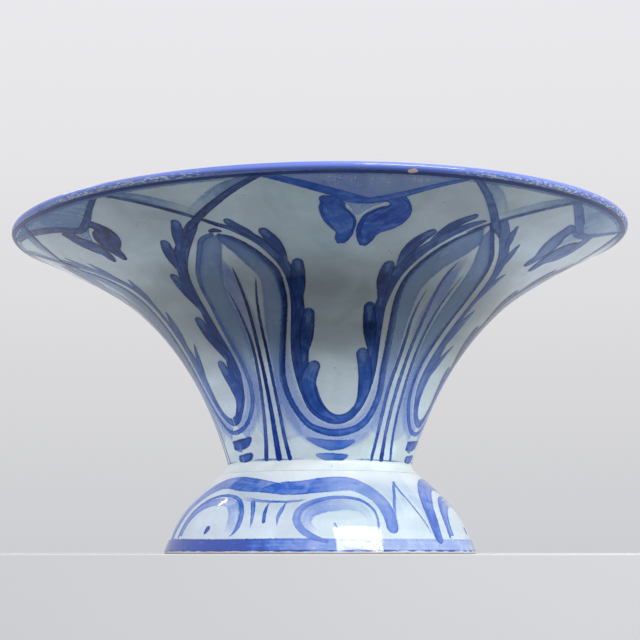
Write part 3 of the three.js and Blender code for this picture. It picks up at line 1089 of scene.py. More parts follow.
def paint_garland_left(art):
    """Left arm of the leafy garland in front, and the bottom of its curve"""
    outer = [(-24.2, 166.6), (-21.6, 160.5), (-18.6, 153.5), (-15, 144), (-12.2, 133), (-10, 121),
             (-9.2, 110), (-9.3, 98), (-10.2, 85), (-11.2, 73), (-11.6, 62), (-10.8, 51), (-8.8, 40.4),
             (-5.4, 30.8), (0.4, 25.2), (7, 22.7), (12.6, 23.4), (17.6, 26.8), (20.6, 31.6)]
    inner = [(-23.4, 167.4), (-20.6, 162), (-16.8, 156.5), (-13, 148.5), (-10.2, 138), (-7.6, 127),
             (-5.8, 117), (-5, 106), (-4.8, 94), (-4.2, 82), (-4.2, 70), (-4.4, 59), (-2.3, 50),
             (-0.7, 42.6), (1.6, 35.4), (5.2, 30.4), (9.6, 28.7), (13.8, 30.4), (17, 34.6)]
    paint_arm(art, outer, inner, [0.7, 0.85, 0.95, 0.95, 0.85, 0.8],
              (([(-19.1, 164.8), (-17.8, 159), (-15.4, 151.5), (-12.8, 143)], [4.6, 6, 6.5, 5], 0.9),
               ([(-12.5, 155.4), (-11, 147), (-9.4, 137), (-8.2, 127)], [5.5, 8, 8.5, 7], 0.9),
               ([(-5.5, 130.5), (-5.9, 120.5), (-6.4, 108), (-6.8, 94)], [6, 8.6, 9, 7], 0.9),
               ([(-3.3, 95.5), (-4.4, 84), (-5.6, 72), (-6.8, 60)], [6, 8.5, 8.5, 6.5], 0.9),
               ([(-1, 61.2), (-4, 54), (-5, 44), (-2.4, 35), (3, 28.6), (9, 25.8)],
                [6.5, 9, 8.4, 7, 5.5, 4], 0.85)))


def paint_garland_right(art):
    """Right arm of the garland in front"""
    outer = [(35.2, 167), (32.8, 160), (30, 151.4), (27.4, 142), (25, 131), (23, 119), (21.9, 107),
             (21.6, 96), (22.3, 86), (23.1, 76), (24.1, 65), (24.7, 55.4), (24.4, 46.6), (23.2, 39),
             (20.8, 31.8), (17, 26.6)]
    inner = [(34.4, 168.6), (31, 163.4), (27.6, 154.6), (24.6, 145), (21.8, 135), (19.6, 125), (18.2, 114),
             (17.8, 103), (17.2, 93), (17.7, 84), (18.6, 74), (18.4, 65), (17.4, 56.4), (17.4, 46.6),
             (17.8, 39.4), (16.6, 33)]
    paint_arm(art, outer, inner, [0.6, 0.7, 0.85, 0.95, 0.9, 0.85], (
        ([(32, 171), (29.4, 164.5), (27.2, 156.5), (25.2, 147)], [4.4, 6.5, 7.5, 6], 0.7),
        ([(25.1, 156), (22.7, 147), (20.9, 136), (20.2, 125)], [5.5, 8, 9, 7.5], 0.8),
        ([(18, 129.5), (17.9, 120), (18.5, 109), (19.4, 97)], [6.5, 8.5, 9, 7.5], 0.9),
        ([(15.5, 100), (17, 88), (19, 76), (20.8, 64)], [6.5, 8, 8.5, 7], 0.9),
        ([(15.9, 69.8), (18.6, 60.5), (20.4, 50), (20.6, 40), (18, 31.6)], [7, 8.5, 8.5, 7, 5], 0.7)))


def paint_garland_far(art):
    """Right arm of the garland before it, which turns away on the left"""
    outer = [(-24.2, 166), (-26.2, 158), (-29.4, 148.4), (-32.8, 139), (-36.2, 128.6), (-38.2, 119),
             (-39.2, 108), (-39.4, 97), (-39.2, 86), (-38.4, 76), (-37.2, 65), (-36.7, 56), (-37.6, 46.6),
             (-39.2, 38.8), (-42.4, 32), (-46.6, 26), (-52.5, 22.9)]
    inner = [(-26.4, 167), (-30, 158.6), (-33.4, 150.6), (-36.6, 142.6), (-39.4, 132), (-41.6, 122),
             (-42.4, 110), (-42.4, 98), (-43.2, 88), (-42.8, 78), (-42, 68), (-43.2, 58), (-44.4, 49),
             (-45, 41), (-46.8, 34.8), (-49.4, 30.6), (-52.5, 28.8)]
    paint_arm(art, outer, inner, [0.85, 0.9, 0.9, 0.9, 0.9, 0.85], (
        ([(-29.3, 168.6), (-30.6, 160.5), (-32.6, 151.5), (-34.8, 143)], [5.5, 7.5, 7.5, 6], 0.8),
        ([(-35.9, 154), (-37.2, 146), (-38.6, 137), (-39.8, 127)], [6, 8, 9, 7], 0.8),
        ([(-42.8, 127.4), (-42.9, 118), (-42, 106), (-41.4, 95)], [6, 8.5, 8.5, 6.5], 0.8),
        ([(-45.8, 95), (-45, 84.5), (-43, 73.5), (-41.2, 63)], [6.5, 9, 9.5, 7], 0.8),
        ([(-46.2, 65), (-44.6, 55), (-42.4, 46), (-43, 38.6), (-46.4, 31.4)], [6, 9, 10, 8, 5.5], 0.7)))


def paint_garland_next(art):
    """Left arm of the garland after it, drawn with a drier brush on the right"""
    outer = [(37.4, 170), (39.4, 163), (42.4, 155), (46.2, 146), (50, 135.7), (53, 126), (54.4, 116),
             (54.5, 100), (53.9, 90), (53, 79), (52, 69), (51.2, 60), (51.2, 52), (52, 45), (53.8, 38.4),
             (56.6, 32), (61, 26.4), (67.5, 23)]
    inner = [(39.6, 171), (42.4, 164.6), (45.6, 157), (49, 149), (52.6, 140), (55.4, 130), (57, 118),
             (57.2, 104), (57, 92), (57.4, 80), (58.4, 69), (58.4, 59), (57.9, 50), (58.2, 42), (60, 35),
             (62.6, 31), (65, 29.2), (67.5, 28.7)]
    paint_arm(art, outer, inner, [0.5, 0.55, 0.6, 0.6, 0.6, 0.6], (
        ([(43.6, 168), (44.6, 161), (46.6, 153), (48.4, 146)], [2, 5, 5.6, 4.5], 0.5),
        ([(50.1, 155), (50.9, 147), (52.3, 138), (53.8, 130)], [2, 6, 6.6, 5], 0.5),
        ([(58, 132), (57, 123.5), (56.4, 113), (56, 103)], [2, 6, 7, 5.5], 0.5),
        ([(60.4, 103), (58.6, 94), (57, 83), (56, 72)], [2, 6.6, 8, 6.5], 0.5),
        ([(63.6, 78), (60.6, 70), (58, 61), (56.4, 52)], [1.4, 4.5, 6.4, 5.4], 0.5)))


def paint_petal_lines(art):
    """Outlines of the two petals, the long line that runs under the garland between them"""
    art.stroke([(-23.2, 153.6), (-26.3, 150.6), (-29, 141.9), (-31.6, 133), (-34.2, 124.3), (-35.9, 115.5),
                (-36.6, 101), (-36.7, 88), (-35.7, 74), (-34.2, 60), (-33.4, 47), (-35.4, 35.4),
                (-39.6, 27.4), (-45.4, 22), (-52.5, 19.6)],
               [3.6, 4, 4.2, 4, 3.8, 3.6, 3.4, 3.4, 3.4, 3.6, 3.6, 3.4, 3.2, 3.2, 3.6],
               [0.6, 0.5, 0.45, 0.45, 0.5, 0.6], "round", "flat", 0.8)
    art.restart()
    art.stroke([(-24, 155.2), (-22.6, 156.4), (-21, 154.6)], [3, 4.2, 3], 0.9, "round", "round", 0.7)
    art.restart()
    art.stroke([(-22.6, 152.8), (-20.2, 149.4), (-17.5, 142.7), (-14.2, 131.3), (-11.9, 121.7),
                (-11.2, 111.2), (-11.2, 99.2), (-12.5, 86), (-14.2, 72.9), (-15.8, 60.6), (-16.5, 51.9),
                (-15.5, 42.2), (-13.2, 34.3), (-9.6, 27.3), (-5.3, 22), (-0.2, 19.4), (5.1, 17.9),
                (9.4, 17.8), (15, 18.8), (19.9, 20.9), (24.2, 24.9), (27.1, 30.8), (28.8, 38.7),
                (29, 46.6), (28.1, 55.4), (27.5, 65.9), (26.8, 74.7), (25.8, 86), (24.8, 96.6),
                (24.3, 105.4), (24.8, 118.2), (27, 131.5), (29.8, 144.5), (32.4, 153.3), (36.7, 163.4)],
               [3, 4.6, 5.2, 5.2, 5, 4.8, 4.4, 4.2, 4.2, 4.4, 4.4, 4.2, 4, 4, 4.2, 4.6, 5, 5.2, 5, 4.8,
                4.8, 4.8, 4.8, 4.8, 4.8, 4.8, 4.8, 4.8, 4.6, 4.4, 4.2, 4, 3.6, 3.2, 2.4],
               [0.8, 0.95, 1.0, 1.0, 0.95, 0.85, 0.75, 0.65, 0.65, 0.7, 0.85, 0.95, 0.95, 0.8, 0.6],
               "round", "point", 0.85)
    art.restart()
    art.stroke([(36.6, 165.8), (39.1, 158.5), (42.1, 149.8), (45.4, 141.9), (48, 134), (50, 124.3),
                (51, 115.5), (51.2, 106.8), (50.7, 94.8), (49.8, 84), (48.4, 72), (47.3, 60.6),
                (47.3, 51.9), (48, 44), (49.7, 36.9), (52.3, 30.8), (55.6, 25.5), (59.5, 21.6),
                (64.5, 19.8), (67.5, 19.6)],
               [2.6, 3.4, 4, 4, 4, 3.8, 3.4, 3.4, 3.4, 3.4, 3.4, 3.4, 3.4, 3.4, 3.4, 3.4, 3.4, 3.2, 3.2,
                3.4], [0.7, 0.8, 0.8, 0.7, 0.6, 0.6], "round", "flat", 0.7)


def paint_petal_veins(art):
    """Three long lines down the middle of each petal, each ending in a darker drop"""
    drop = [0.6, 0.9, 1.0, 0.95, 0.85, 0.8, 1.1]
    art.restart()
    art.strokes(
        ([(-28.3, 112), (-27.5, 99), (-27, 86), (-26.8, 72.9), (-27.2, 62.4), (-28, 50), (-29, 38),
          (-30.6, 22), (-32, 11), (-33.8, 1.2)], [0.8, 1.6, 2.1, 2.4, 2.4, 2.4, 2.5, 2.7, 3, 3.4], drop,
         "point", "round", 0.5),
        ([(-23.2, 128), (-23.4, 115.5), (-23.6, 99.2), (-24, 86), (-24.6, 70), (-25, 52), (-25.2, 33.4),
          (-25.2, 18), (-24.7, 1)], [0.9, 1.8, 2.3, 2.5, 2.6, 2.7, 3, 3.6, 4.4],
         [0.7, 1.0, 1.15, 1.15, 1.1, 1.05, 1.2], "point", "round", 0.5),
        ([(-17.6, 119), (-18.8, 110.2), (-20, 99), (-20.9, 86), (-21.3, 68), (-21.4, 48), (-20.9, 33.4),
          (-20.1, 19), (-19.1, 9.8), (-17.6, 1.4)], [0.8, 1.5, 2, 2.2, 2.3, 2.3, 2.4, 2.6, 2.8, 3.2], drop,
         "point", "round", 0.5))
    art.restart()
    art.strokes(
        ([(33, 112), (32.6, 100), (32.8, 89), (33.8, 76), (34, 60), (33.4, 44), (33.5, 28), (33, 14),
          (31.8, 1.2)], [1, 1.8, 2.4, 2.7, 2.9, 3, 3, 2.7, 2.4], [0.4, 0.5, 0.6, 0.65, 0.6, 0.6, 0.8],
         "point", "round", 0.6),
        ([(37.2, 135), (36.5, 124.3), (36.7, 108), (37.4, 92), (37.8, 72), (38.2, 54), (38.4, 34),
          (38.7, 15), (39.4, 1)], [1, 2.2, 2.6, 2.7, 2.9, 3.1, 3, 2.8, 3.8],
         [0.6, 0.75, 0.7, 0.6, 0.6, 0.6, 0.6, 1.1], "point", "round", 0.6),
        ([(42.2, 126), (41.9, 113), (41.3, 98), (41.3, 80), (41.8, 64), (42.6, 47), (43.7, 28), (45.2, 12),
          (47.2, 1.6)], [0.9, 1.7, 2.2, 2.5, 2.6, 2.6, 2.5, 2.4, 2.4],
         [0.4, 0.6, 0.6, 0.55, 0.55, 0.6, 0.8], "point", "round", 0.6))


def paint_petal_washes(art):
    """Washes inside the petals, which leave a pale lancet in the middle of each"""
    art.wash([(-22.4, 153.4), (-26.3, 150), (-29, 141.9), (-31.6, 133), (-34.2, 124.3), (-35.9, 115.5),
              (-36.5, 99.2), (-36.9, 90.5), (-36.2, 79), (-34.9, 68.5), (-33.9, 58.9), (-33.3, 45),
              (-34, 33), (-36, 20)],
             [(-21.6, 151), (-22.5, 144), (-23.9, 136), (-26, 126), (-27.5, 117), (-28.3, 103),
              (-27.7, 90), (-27.3, 79), (-27.4, 68.5), (-28, 58.9), (-28.4, 45), (-28.8, 33), (-29.4, 24),
              (-30.4, 12)], [0.32, 0.29, 0.26, 0.24, 0.24, 0.2, 0.15, 0.12, 0.09, 0.05], 1.6)
    art.wash([(-23.4, 152), (-22.4, 143), (-21, 136), (-19.4, 127), (-17.3, 117.3), (-17.6, 107),
              (-18.6, 97), (-19.8, 84), (-20.6, 70), (-21, 50), (-21, 33), (-20.6, 12)],
             [(-21.4, 152.6), (-17.5, 143.4), (-14.2, 132), (-12, 122), (-11.3, 110), (-11.4, 97),
              (-12.8, 84), (-14.6, 70), (-16.4, 52), (-15.4, 38), (-11.4, 26), (-8, 16)],
             [0.5, 0.4, 0.27, 0.18, 0.18, 0.18, 0.17, 0.14, 0.13, 0.1, 0.05], 1.6)
    art.wash([(36, 163), (31.8, 151), (29.2, 141), (26.9, 131), (24.9, 118.2), (24.4, 105.4), (25, 94),
              (26.2, 80), (27.4, 66), (28.6, 50), (29, 38), (27, 20)],
             [(39, 150), (38.2, 142), (35.6, 132), (33, 121), (31.2, 110), (31.4, 98), (32, 84), (33, 70),
              (33.6, 50), (33.4, 38), (32.8, 16)],
             [0.32, 0.29, 0.24, 0.22, 0.22, 0.21, 0.18, 0.16, 0.13, 0.1, 0.05], 1.6)
    art.wash([(37.4, 154), (39.6, 143), (42.2, 130), (43.2, 118), (43, 104), (42.4, 90), (42.4, 75),
              (42.6, 60), (43.2, 45), (44, 30), (45, 12)],
             [(37.4, 163), (42.1, 149.8), (45.4, 141.9), (48, 134), (50, 124.3), (51.2, 108), (50.3, 90),
              (48.6, 74), (47.4, 58), (47.8, 44), (51, 32), (55, 18)],
             [0.34, 0.29, 0.26, 0.24, 0.24, 0.23, 0.19, 0.15, 0.12, 0.05], 1.6)


def paint_halos(art):
    """Cobalt that bled into the wet glaze round the lower curves"""
    art.tint = 1.0
    art.strokes(
        ([(-13.6, 84), (-15.4, 66), (-16.2, 50), (-13.4, 34), (-6, 21), (3, 16), (12, 15.6), (21, 19.6),
          (27.6, 30), (29.4, 46), (28, 66), (26.6, 84)], [9, 13, 16, 17, 18, 18, 18, 18, 17, 16, 13, 9],
         0.16, "fade", "fade", 4.0),
        ([(-36.6, 92), (-35.4, 70), (-33.4, 48), (-35.6, 34), (-41, 25), (-48, 19.6)],
         [7, 10, 13, 14, 14, 14], 0.15, "fade", "flat", 3.4),
        ([(49.6, 88), (47.6, 66), (47.4, 50), (50, 35), (55.6, 25), (63, 19)], [7, 10, 12, 13, 13, 13],
         0.15, "fade", "flat", 3.4))
    for angle in (-25.5, 38.5):
        art.strokes(
            ([(angle, 62), (angle, 36), (angle, 8)], [10, 16, 20], 0.09, "fade", "fade", 4.0),
            ([(angle, 138), (angle, 118), (angle, 92), (angle, 64)], [5, 12, 14, 12], 0.24, "fade", "fade",
             3.0))
    art.tint = 0.0


def paint_neck_dabs(art):
    """Two lens-shaped dabs under each garland, and a faint line along the joint"""
    art.restart()
    art.tint = 0.9
    art.strokes(
        ([(-7.6, 14.6), (-1, 12), (6, 10.4), (13, 10.8), (19.8, 13.2)], [1.6, 4.8, 6.8, 5.6, 1.8],
         [0.35, 0.55, 0.6, 0.5], "round", "round"),
        ([(-2.5, 4.8), (2.5, 3.6), (7.5, 3.2), (12.5, 3.3), (16.6, 4.4)], [2, 4.6, 5.6, 4.8, 1.8],
         [0.35, 0.5, 0.65, 0.6], "round", "round"))
    art.restart()
    # The side dabs and the joint's line take a duller cobalt; on the left this is painted shade, standing
    # for the shade on that side of the lower wall
    art.tint = 0.1
    art.strokes(
        ([(-60, 12), (-52, 12.2), (-46, 13.4), (-41.4, 16)], [6, 7.4, 6.4, 3], 0.8, "flat", "round", 0.9),
        ([(-57, 4), (-51, 3.8), (-46.6, 4.6), (-43, 6)], [4.4, 5.8, 5.6, 3.2], 0.9, "flat", "round", 0.9))
    art.restart()
    art.strokes(
        ([(59.5, 10.6), (64, 10.2), (68, 10)], [3, 5, 6], 0.32, "round", "flat", 1.0),
        ([(62, 3.8), (65, 3.5), (68, 3.5)], [3, 4.4, 4.8], 0.3, "round", "flat", 1.0))
    art.restart()
    art.strokes(
        ([(-46, 2.2), (-34, 2.4), (-20, 2.1), (-9, 2.3)], [1.4, 2, 1.6, 1.2], [0.2, 0.35, 0.2, 0.3],
         "fade", "fade", 0.7),
        ([(20, 2.1), (32, 2.2), (44, 2.0), (60, 2.2)], [1.2, 1.4, 1.2, 1.4], [0.3, 0.2, 0.35, 0.2], "fade",
         "fade", 0.6))


# The three bows and their swags that the front shows, then three more round the back
# Each has its angle, width, length, reach to the left, load and share of clearer cobalt
BOWS = ((7.5, 1.0, 1.0, 0.0, 1.0, 1.0), (64.6, 0.97, 1.0, 0.0, 0.65, 0.1),
        (127.5, 1.0, 1.0, 0.4, 0.8, 0.5), (187.5, 0.98, 0.97, 0.0, 0.9, 0.8),
        (247.5, 1.02, 1.0, 0.5, 0.8, 0.5), (305.0, 0.86, 0.87, 1.5, 1.15, 0.0))
BOW_CENTRE = 7.5
BOW_KNOT = 180.0


def paint_bow(art, centre, width, reach, spread, load, tint):
    """Two drooping lobes under a triangle of wash that hangs from the rim"""
    def at(*places):
        return [(centre + (angle - BOW_CENTRE) * width + min(angle + 0.5, 0) * spread,
                 max(length, BOW_KNOT) - max(BOW_KNOT - length, 0) * reach) for angle, length in places]

    art.restart()
    art.tint = tint
    art.wash(at((-8.4, 198.6), (-3.4, 191), (1.6, 184), (6.4, 178)),
             at((23.6, 198.4), (19, 190.8), (14.4, 183.4), (9.6, 178)),
             [load * 0.22, load * 0.26, load * 0.4], 0.8)
    art.stroke(at((3.4, 198.4), (5, 191), (6.6, 184), (8, 177)), [28, 22, 14, 8],
               [load * 0.55, load * 0.45, load * 0.45], "flat", "fade", 3.4)
    art.restart()
    art.wash(at((-0.4, 180.6), (0, 172), (0.4, 163), (1.9, 155.4), (3.2, 150.6), (3.1, 146), (3.9, 141.2)),
             at((4.6, 180), (4.7, 172.4), (5.6, 166), (7, 160.6), (7.3, 154), (7, 147), (5.7, 141.6)),
             [load * 1.0, load * 0.8, load * 0.55, load * 1.0], 0.6)
    art.wash(at((9.4, 180), (12.8, 173.2), (10.9, 170.4), (9, 166), (7.9, 160), (7.5, 154), (7.9, 147),
                (9, 140)),
             at((15.4, 181), (17.1, 174), (17.9, 166.8), (17.3, 159.6), (15.4, 154), (12.6, 149.4),
                (11.8, 143.6), (10.7, 139.6)), [load * 0.9, load * 1.05, load * 0.8, load * 1.15], 0.6)
    art.wash(at((3.4, 176), (5.6, 170), (6.6, 164)), at((12.6, 176), (9.4, 170), (7.6, 164)), load * 0.22,
             0.9)
    art.strokes(
        (at((-9, 198.8), (-3.4, 190.6), (2.4, 182.8), (8.2, 176.6), (12.6, 176)), [4.6, 6, 6.6, 5.4, 3],
         load * 0.8, "flat", "point"),
        (at((24.6, 198.6), (19.6, 190.4), (14.8, 182.6), (8.8, 176.2), (3.4, 176)), [3.4, 4, 5, 5, 3],
         load * 0.75, "flat", "point"),
        (at((0.4, 178), (0.1, 171), (0.7, 162.6), (2.3, 155), (3.8, 149.6)), [1.6, 2.4, 2.6, 2.2, 1.2],
         load * 0.8, "point", "point", 0.6),
        (at((3.2, 173.4), (5.2, 168), (6.8, 161.6), (7, 154), (6.2, 147.6)), [1.2, 1.8, 2, 2, 1.2],
         load * 1.2, "point", "point", 0.4),
        (at((13.8, 173.4), (10.9, 169.4), (8.9, 163.6), (8.3, 155.4), (8.8, 147)), [1.4, 2.6, 3.2, 3.2, 2],
         load * 1.2, "point", "point", 0.5),
        (at((3.8, 145.6), (4.6, 142.8)), 3.4, load * 0.8, "round", "round"),
        (at((9.6, 146), (10.2, 142.2)), 4.6, load * 0.7, "round", "round"))
    art.tint = 0.0


# Swags that cross over a petal: the rim's end on either side, the crossing, and how dark it is
CROSSINGS = ((-39.5, -24.4, -9.4, 0.95), (26.0, 37.2, 52.3, 0.6), (80.5, 95.6, 110.6, 0.8),
             (146, 157.2, 172.3, 0.8), (200.5, 215.6, 230.6, 0.8), (266, 277.2, 292.3, 0.85))
CROSSING_LENGTH = 167.4


def paint_crossing(art, left, middle, right, load):
    """Two bands from the rim that cross over the tip of a petal, each with a wash above it"""
    wide, narrow = (right, left) if middle < left + 0.52 * (right - left) and load > 0.9 else (left, right)
    for start, widths in ((narrow, (2.8, 3, 3.2, 3, 2.6, 2)), (wide, (4, 4.4, 5, 5.2, 5.4, 5))):
        slant = math.copysign(1.0, middle - start)
        reach = abs(middle - start)
        route = [(start, 199.2), (start + slant * reach * 0.36, 188), (start + slant * reach * 0.7, 177),
                 (middle, CROSSING_LENGTH), (middle + slant * 2.6, 161.4), (middle + slant * 5, 156)]
        over = [(angle + 1.1 * slant, min(length + 3.2, 197.6)) for angle, length in route[:4]]
        art.strokes(
            (over, [6, 7.6, 8.6, 7], min(load, 0.8) * 0.38, "flat", "fade", 1.2),
            (route, list(widths), load, "flat", "point", 0.5))


def paint_ground_washes(art):
    """Faint cobalt washes on the ground under the rim"""
    art.strokes(
        ([(-9, 196), (-8, 180), (-6.4, 165), (-5, 152)], [12, 16, 16, 10], 0.06, "fade", "fade", 3.0),
        ([(-3, 158), (3, 140), (9, 132), (13, 128)], [10, 16, 14, 8], 0.06, "fade", "fade", 3.0),
        ([(-38, 178), (-30, 172), (-22, 168)], [8, 12, 8], 0.06, "fade", "fade", 3.0))


# Stops round the rim, the band's depth under the lip's top, and its reach over the lip
RIM_STOPS = 61
LIP_BAND_DEPTH = 6.6
BLUE_OVER_LIP = 9.5

# The navy line and its shade: widths, and how far they lie under the band's lower edge
RIM_LINE, LINE_BELOW = 3.0, 1.2
RIM_SHADE, SHADE_BELOW = 3.4, 3.2

# Load of the band where it is whole and where it is worn through
WHOLE_LIP, WORN_LIP = 0.76, 0.2

# Angles of the whole lip in front, of the worn lip round it, and of the broad navy edge
WHOLE_AT, WHOLE_REACH, WHOLE_FADE = 3, 17, 7
WORN_AT, WORN_REACH, WORN_FADE = 12, 70, 12
NAVY_AT, NAVY_REACH, NAVY_WIDTH = -86, 26, 1.7


def paint_rim(lines, band, lip_start, lip_top):
    """A navy line under the lip, and the worn blue band over it"""
    around = np.linspace(-180.0, 180.0, RIM_STOPS)
    wave = 0.25 * np.sin(np.radians(around * 3) + 0.8) + 0.18 * np.sin(np.radians(around * 7))
    front = np.clip((np.abs(around - WHOLE_AT) - WHOLE_REACH) / WHOLE_FADE, 0, 1)
    patchy = 0.75 + 0.25 * np.cos(np.radians(3 * np.abs(around) - 120))
    worn = front * patchy * np.clip((WORN_REACH - np.abs(around - WORN_AT)) / WORN_FADE, 0, 1)
    navy_edge = NAVY_WIDTH * np.clip(1.2 - np.abs(around - NAVY_AT) / NAVY_REACH, 0, 1)
    lines.stroke(list(zip(around, lip_start - SHADE_BELOW + wave)), RIM_SHADE,
                 0.08 + 0.2 * front * patchy, "flat", "flat", 1.1)
    lines.tint = 0.4
    lines.stroke(list(zip(around, lip_start - LINE_BELOW + wave + navy_edge)), RIM_LINE, 2.2,
                 "flat", "flat", 0.35)
    inner_edge = lip_top + BLUE_OVER_LIP + 3 * wave
    outer_edge = lip_start + 0.1 + navy_edge
    load = WHOLE_LIP - WORN_LIP * worn
    band.wash(list(zip(around, inner_edge)), list(zip(around, outer_edge)), load, 0.3, 0.4, closed=True)


# The chip's angle and length up the wall; each speck's angle, length and size
CHIP = (14.5, 201.4)
SPECKS = ((17.4, 135.0, 1.4), (10.5, 44.6, 1.0), (-46.0, 150.0, 1.1), (22.8, 178.0, 0.7),
          (4.2, 118.0, 0.6))


def paint_blemishes(art):
    """A chip in the lip that shows the clay, and iron specks in the glaze"""
    angle, length = CHIP
    art.stroke([(angle - 0.85, length + 0.2), (angle - 0.2, length - 0.2), (angle + 0.4, length + 0.3),
                (angle + 0.85, length + 0.1)], [1.6, 3.2, 2.8, 1.2], 1.8, "round", "round", 0.3)
    art.tint = 1.0
    for angle, length, size in SPECKS:
        art.stroke([(angle - 0.1, length), (angle + 0.1, length)], size, 2.4, "round", "round", 0.25)


# The painting on the foot. Points are (degrees, millimetres down from the neck).

def paint_foot_band(art):
    """The broad wavy band that runs over the arches, in two loads of the brush"""
    art.restart()
    art.strokes(
        ([(-62, 12), (-52, 9.4), (-42, 8.4), (-33, 9.6)], [12, 14, 13, 8], 0.1, "fade", "fade", 4.0),
        ([(-72, 56), (-72.4, 48), (-71.6, 39), (-70, 31), (-67, 24.6), (-62, 18.2), (-56, 13.8),
          (-50, 12.3), (-45, 12.4), (-40, 13.5), (-34, 14.8), (-28, 16), (-20, 17.6), (-12, 19),
          (-5, 19.6)], [6, 8, 9.5, 10, 11, 11, 10.6, 10.6, 11.4, 12.2, 12, 10.6, 8.6, 6.6, 4.6],
         [0.8, 0.75, 0.7, 0.55, 0.6, 0.7, 0.6, 0.45, 0.3], "round", "point", 0.6),
        ([(-28, 20), (-23, 18.6), (-17, 18), (-10, 17.9), (-5, 16.8), (0, 15.7), (5, 14.8), (10, 14.2),
          (15, 15), (19.6, 18.4), (23.4, 23.4), (26, 30), (27, 38), (27, 50)],
         [3.6, 8, 11.6, 12.2, 12.4, 13.2, 13.4, 12.8, 12, 11, 10, 9.4, 9, 7.4],
         [0.6, 0.65, 0.6, 0.45, 0.34, 0.3, 0.36, 0.6], "round", "round", 0.7),
        ([(24.4, 38), (27, 44), (30, 50)], [3, 7, 6], 0.25, "fade", "fade", 1.6))


def paint_foot_arches(art):
    """Arch outlines with a softer wash inside them"""
    art.restart()
    art.strokes(
        ([(-63.5, 51), (-63, 43), (-61, 36.5), (-57, 31.5), (-52, 29), (-45.5, 28.2), (-39.4, 29.6),
          (-35.6, 35.4), (-34, 43), (-34.6, 50)], [6, 7, 8.6, 8, 7, 6.8, 7.4, 8.4, 9, 8],
         [0.5, 0.55, 0.5, 0.36, 0.26, 0.4, 0.7, 0.7], "flat", "fade", 1.1),
        ([(-65, 52.6), (-64.4, 45), (-63, 38), (-60.4, 31.6), (-56.6, 27), (-52, 24.4), (-47, 23.3),
          (-42, 23.7), (-38, 25.4), (-34.8, 28.6), (-32.6, 33), (-31.3, 38), (-31, 43), (-31.8, 48),
          (-34, 52)], [2.6, 2.8, 3, 3, 3, 2.8, 2.6, 2.6, 2.8, 3.2, 3.4, 3.6, 3.6, 3.6, 3.2],
         [0.7, 0.75, 0.7, 0.6, 0.6, 0.65], "round", "point", 0.6),
        ([(-45.2, 45), (-45.8, 47.4), (-46.8, 50)], [4.6, 4, 2.2], 1.5, "round", "round", 0.4))
    art.restart()
    art.strokes(
        ([(-2.4, 50.4), (-5.6, 44), (-5, 37.4), (-0.4, 32.6), (6, 30.4), (12.4, 31), (16.6, 34.6),
          (18.4, 41), (17.8, 48)], [8, 9, 10, 11, 12, 10, 7, 5, 4], [0.3, 0.4, 0.4, 0.22, 0.16, 0.1],
         "fade", "fade", 1.2),
        ([(3, 55), (-2.4, 52), (-6.2, 48), (-8.4, 43), (-8.6, 38), (-7, 33.4), (-3.6, 29.8), (1, 27.2),
          (7, 25.6), (12, 26), (16, 27.4), (19.2, 30.6), (21.3, 35.4), (21.8, 41), (21.4, 47), (20.6, 52)],
         [2, 4, 4.6, 5, 5, 4.6, 4, 3.4, 3, 2.8, 2.6, 2.4, 2, 2, 1.8, 1.6],
         [0.5, 0.4, 0.32, 0.4, 0.5, 0.5, 0.42, 0.4], "round", "point", 0.7),
        ([(5.2, 43.4), (5.8, 45.4), (6.6, 47.6)], [2.2, 1.8, 1], 0.3, "round", "point"))


def paint_foot_fringe(art):
    """A thin line that links the arches, with three drops hanging from it"""
    art.restart()
    art.strokes(
        ([(-35, 25.6), (-30.4, 27), (-24, 28.3), (-17, 29), (-10, 28.6), (-5.4, 27.4)],
         [3, 3, 2.4, 2, 2.2, 2.2], [0.3, 0.3, 0.5, 0.5, 0.4], "fade", "point", 0.6),
        ([(-28.6, 28), (-27.2, 33), (-26.2, 39), (-25.8, 47)], [3.2, 3, 2.4, 1.4], [0.75, 0.65, 0.5]),
        ([(-20.6, 29.4), (-21.4, 34), (-21.3, 39), (-20.9, 43.8)], [2, 2.6, 2.2, 2.8],
         [0.7, 0.8, 0.7, 1.2], "point", "round"),
        ([(-13.6, 29), (-14.8, 34.4), (-15.8, 39.6), (-15.6, 46)], [2, 2.8, 2.4, 1.2], [0.55, 0.6, 0.45],
         "point"))


def paint_foot_peak(art):
    """The sharp peak between two bands: pale glaze inside, and washes on both sides of it"""
    art.restart()
    art.strokes(
        ([(39.6, 11.4), (36.6, 16), (34.4, 22), (31.8, 29), (30.2, 36), (29, 46)],
         [1.4, 2, 2.2, 2.2, 2, 1.4], [0.5, 0.5, 0.45], "round", "fade", 0.5),
        ([(38.2, 11.8), (38.4, 20), (39.6, 27), (41.1, 35), (43, 43), (44.4, 50)],
         [2.2, 2, 1.6, 1.5, 1.4, 1.2], 0.45, "round", "point", 0.5),
        ([(37.4, 18), (37, 25), (37.4, 31)], [2, 4, 4], 0.14, "fade", "fade", 1.4),
        ([(29.4, 13), (31.6, 21), (32.4, 31), (32, 42)], [9, 10, 8, 6], 0.16, "fade", "fade", 2.4),
        ([(42, 10), (44, 20), (44.6, 34), (46, 48)], [9, 10, 7, 6], 0.13, "fade", "fade", 2.6))


# The band round the bottom of the foot: how far down, how broad, and its load at each angle
FOOT_BASE_DEPTH, FOOT_BASE_WIDTH = 56.65, 8
FOOT_BASE_LOADS = (
    (-84, 1.6), (-72, 2.0), (-50, 2.2), (-38, 1.9), (-18, 0.7), (6, 0.24), (30, 0.18), (80, 0.22),
    (110, 0.6), (150, 1.3), (200, 0.5), (250, 1.0), (276, 1.6))


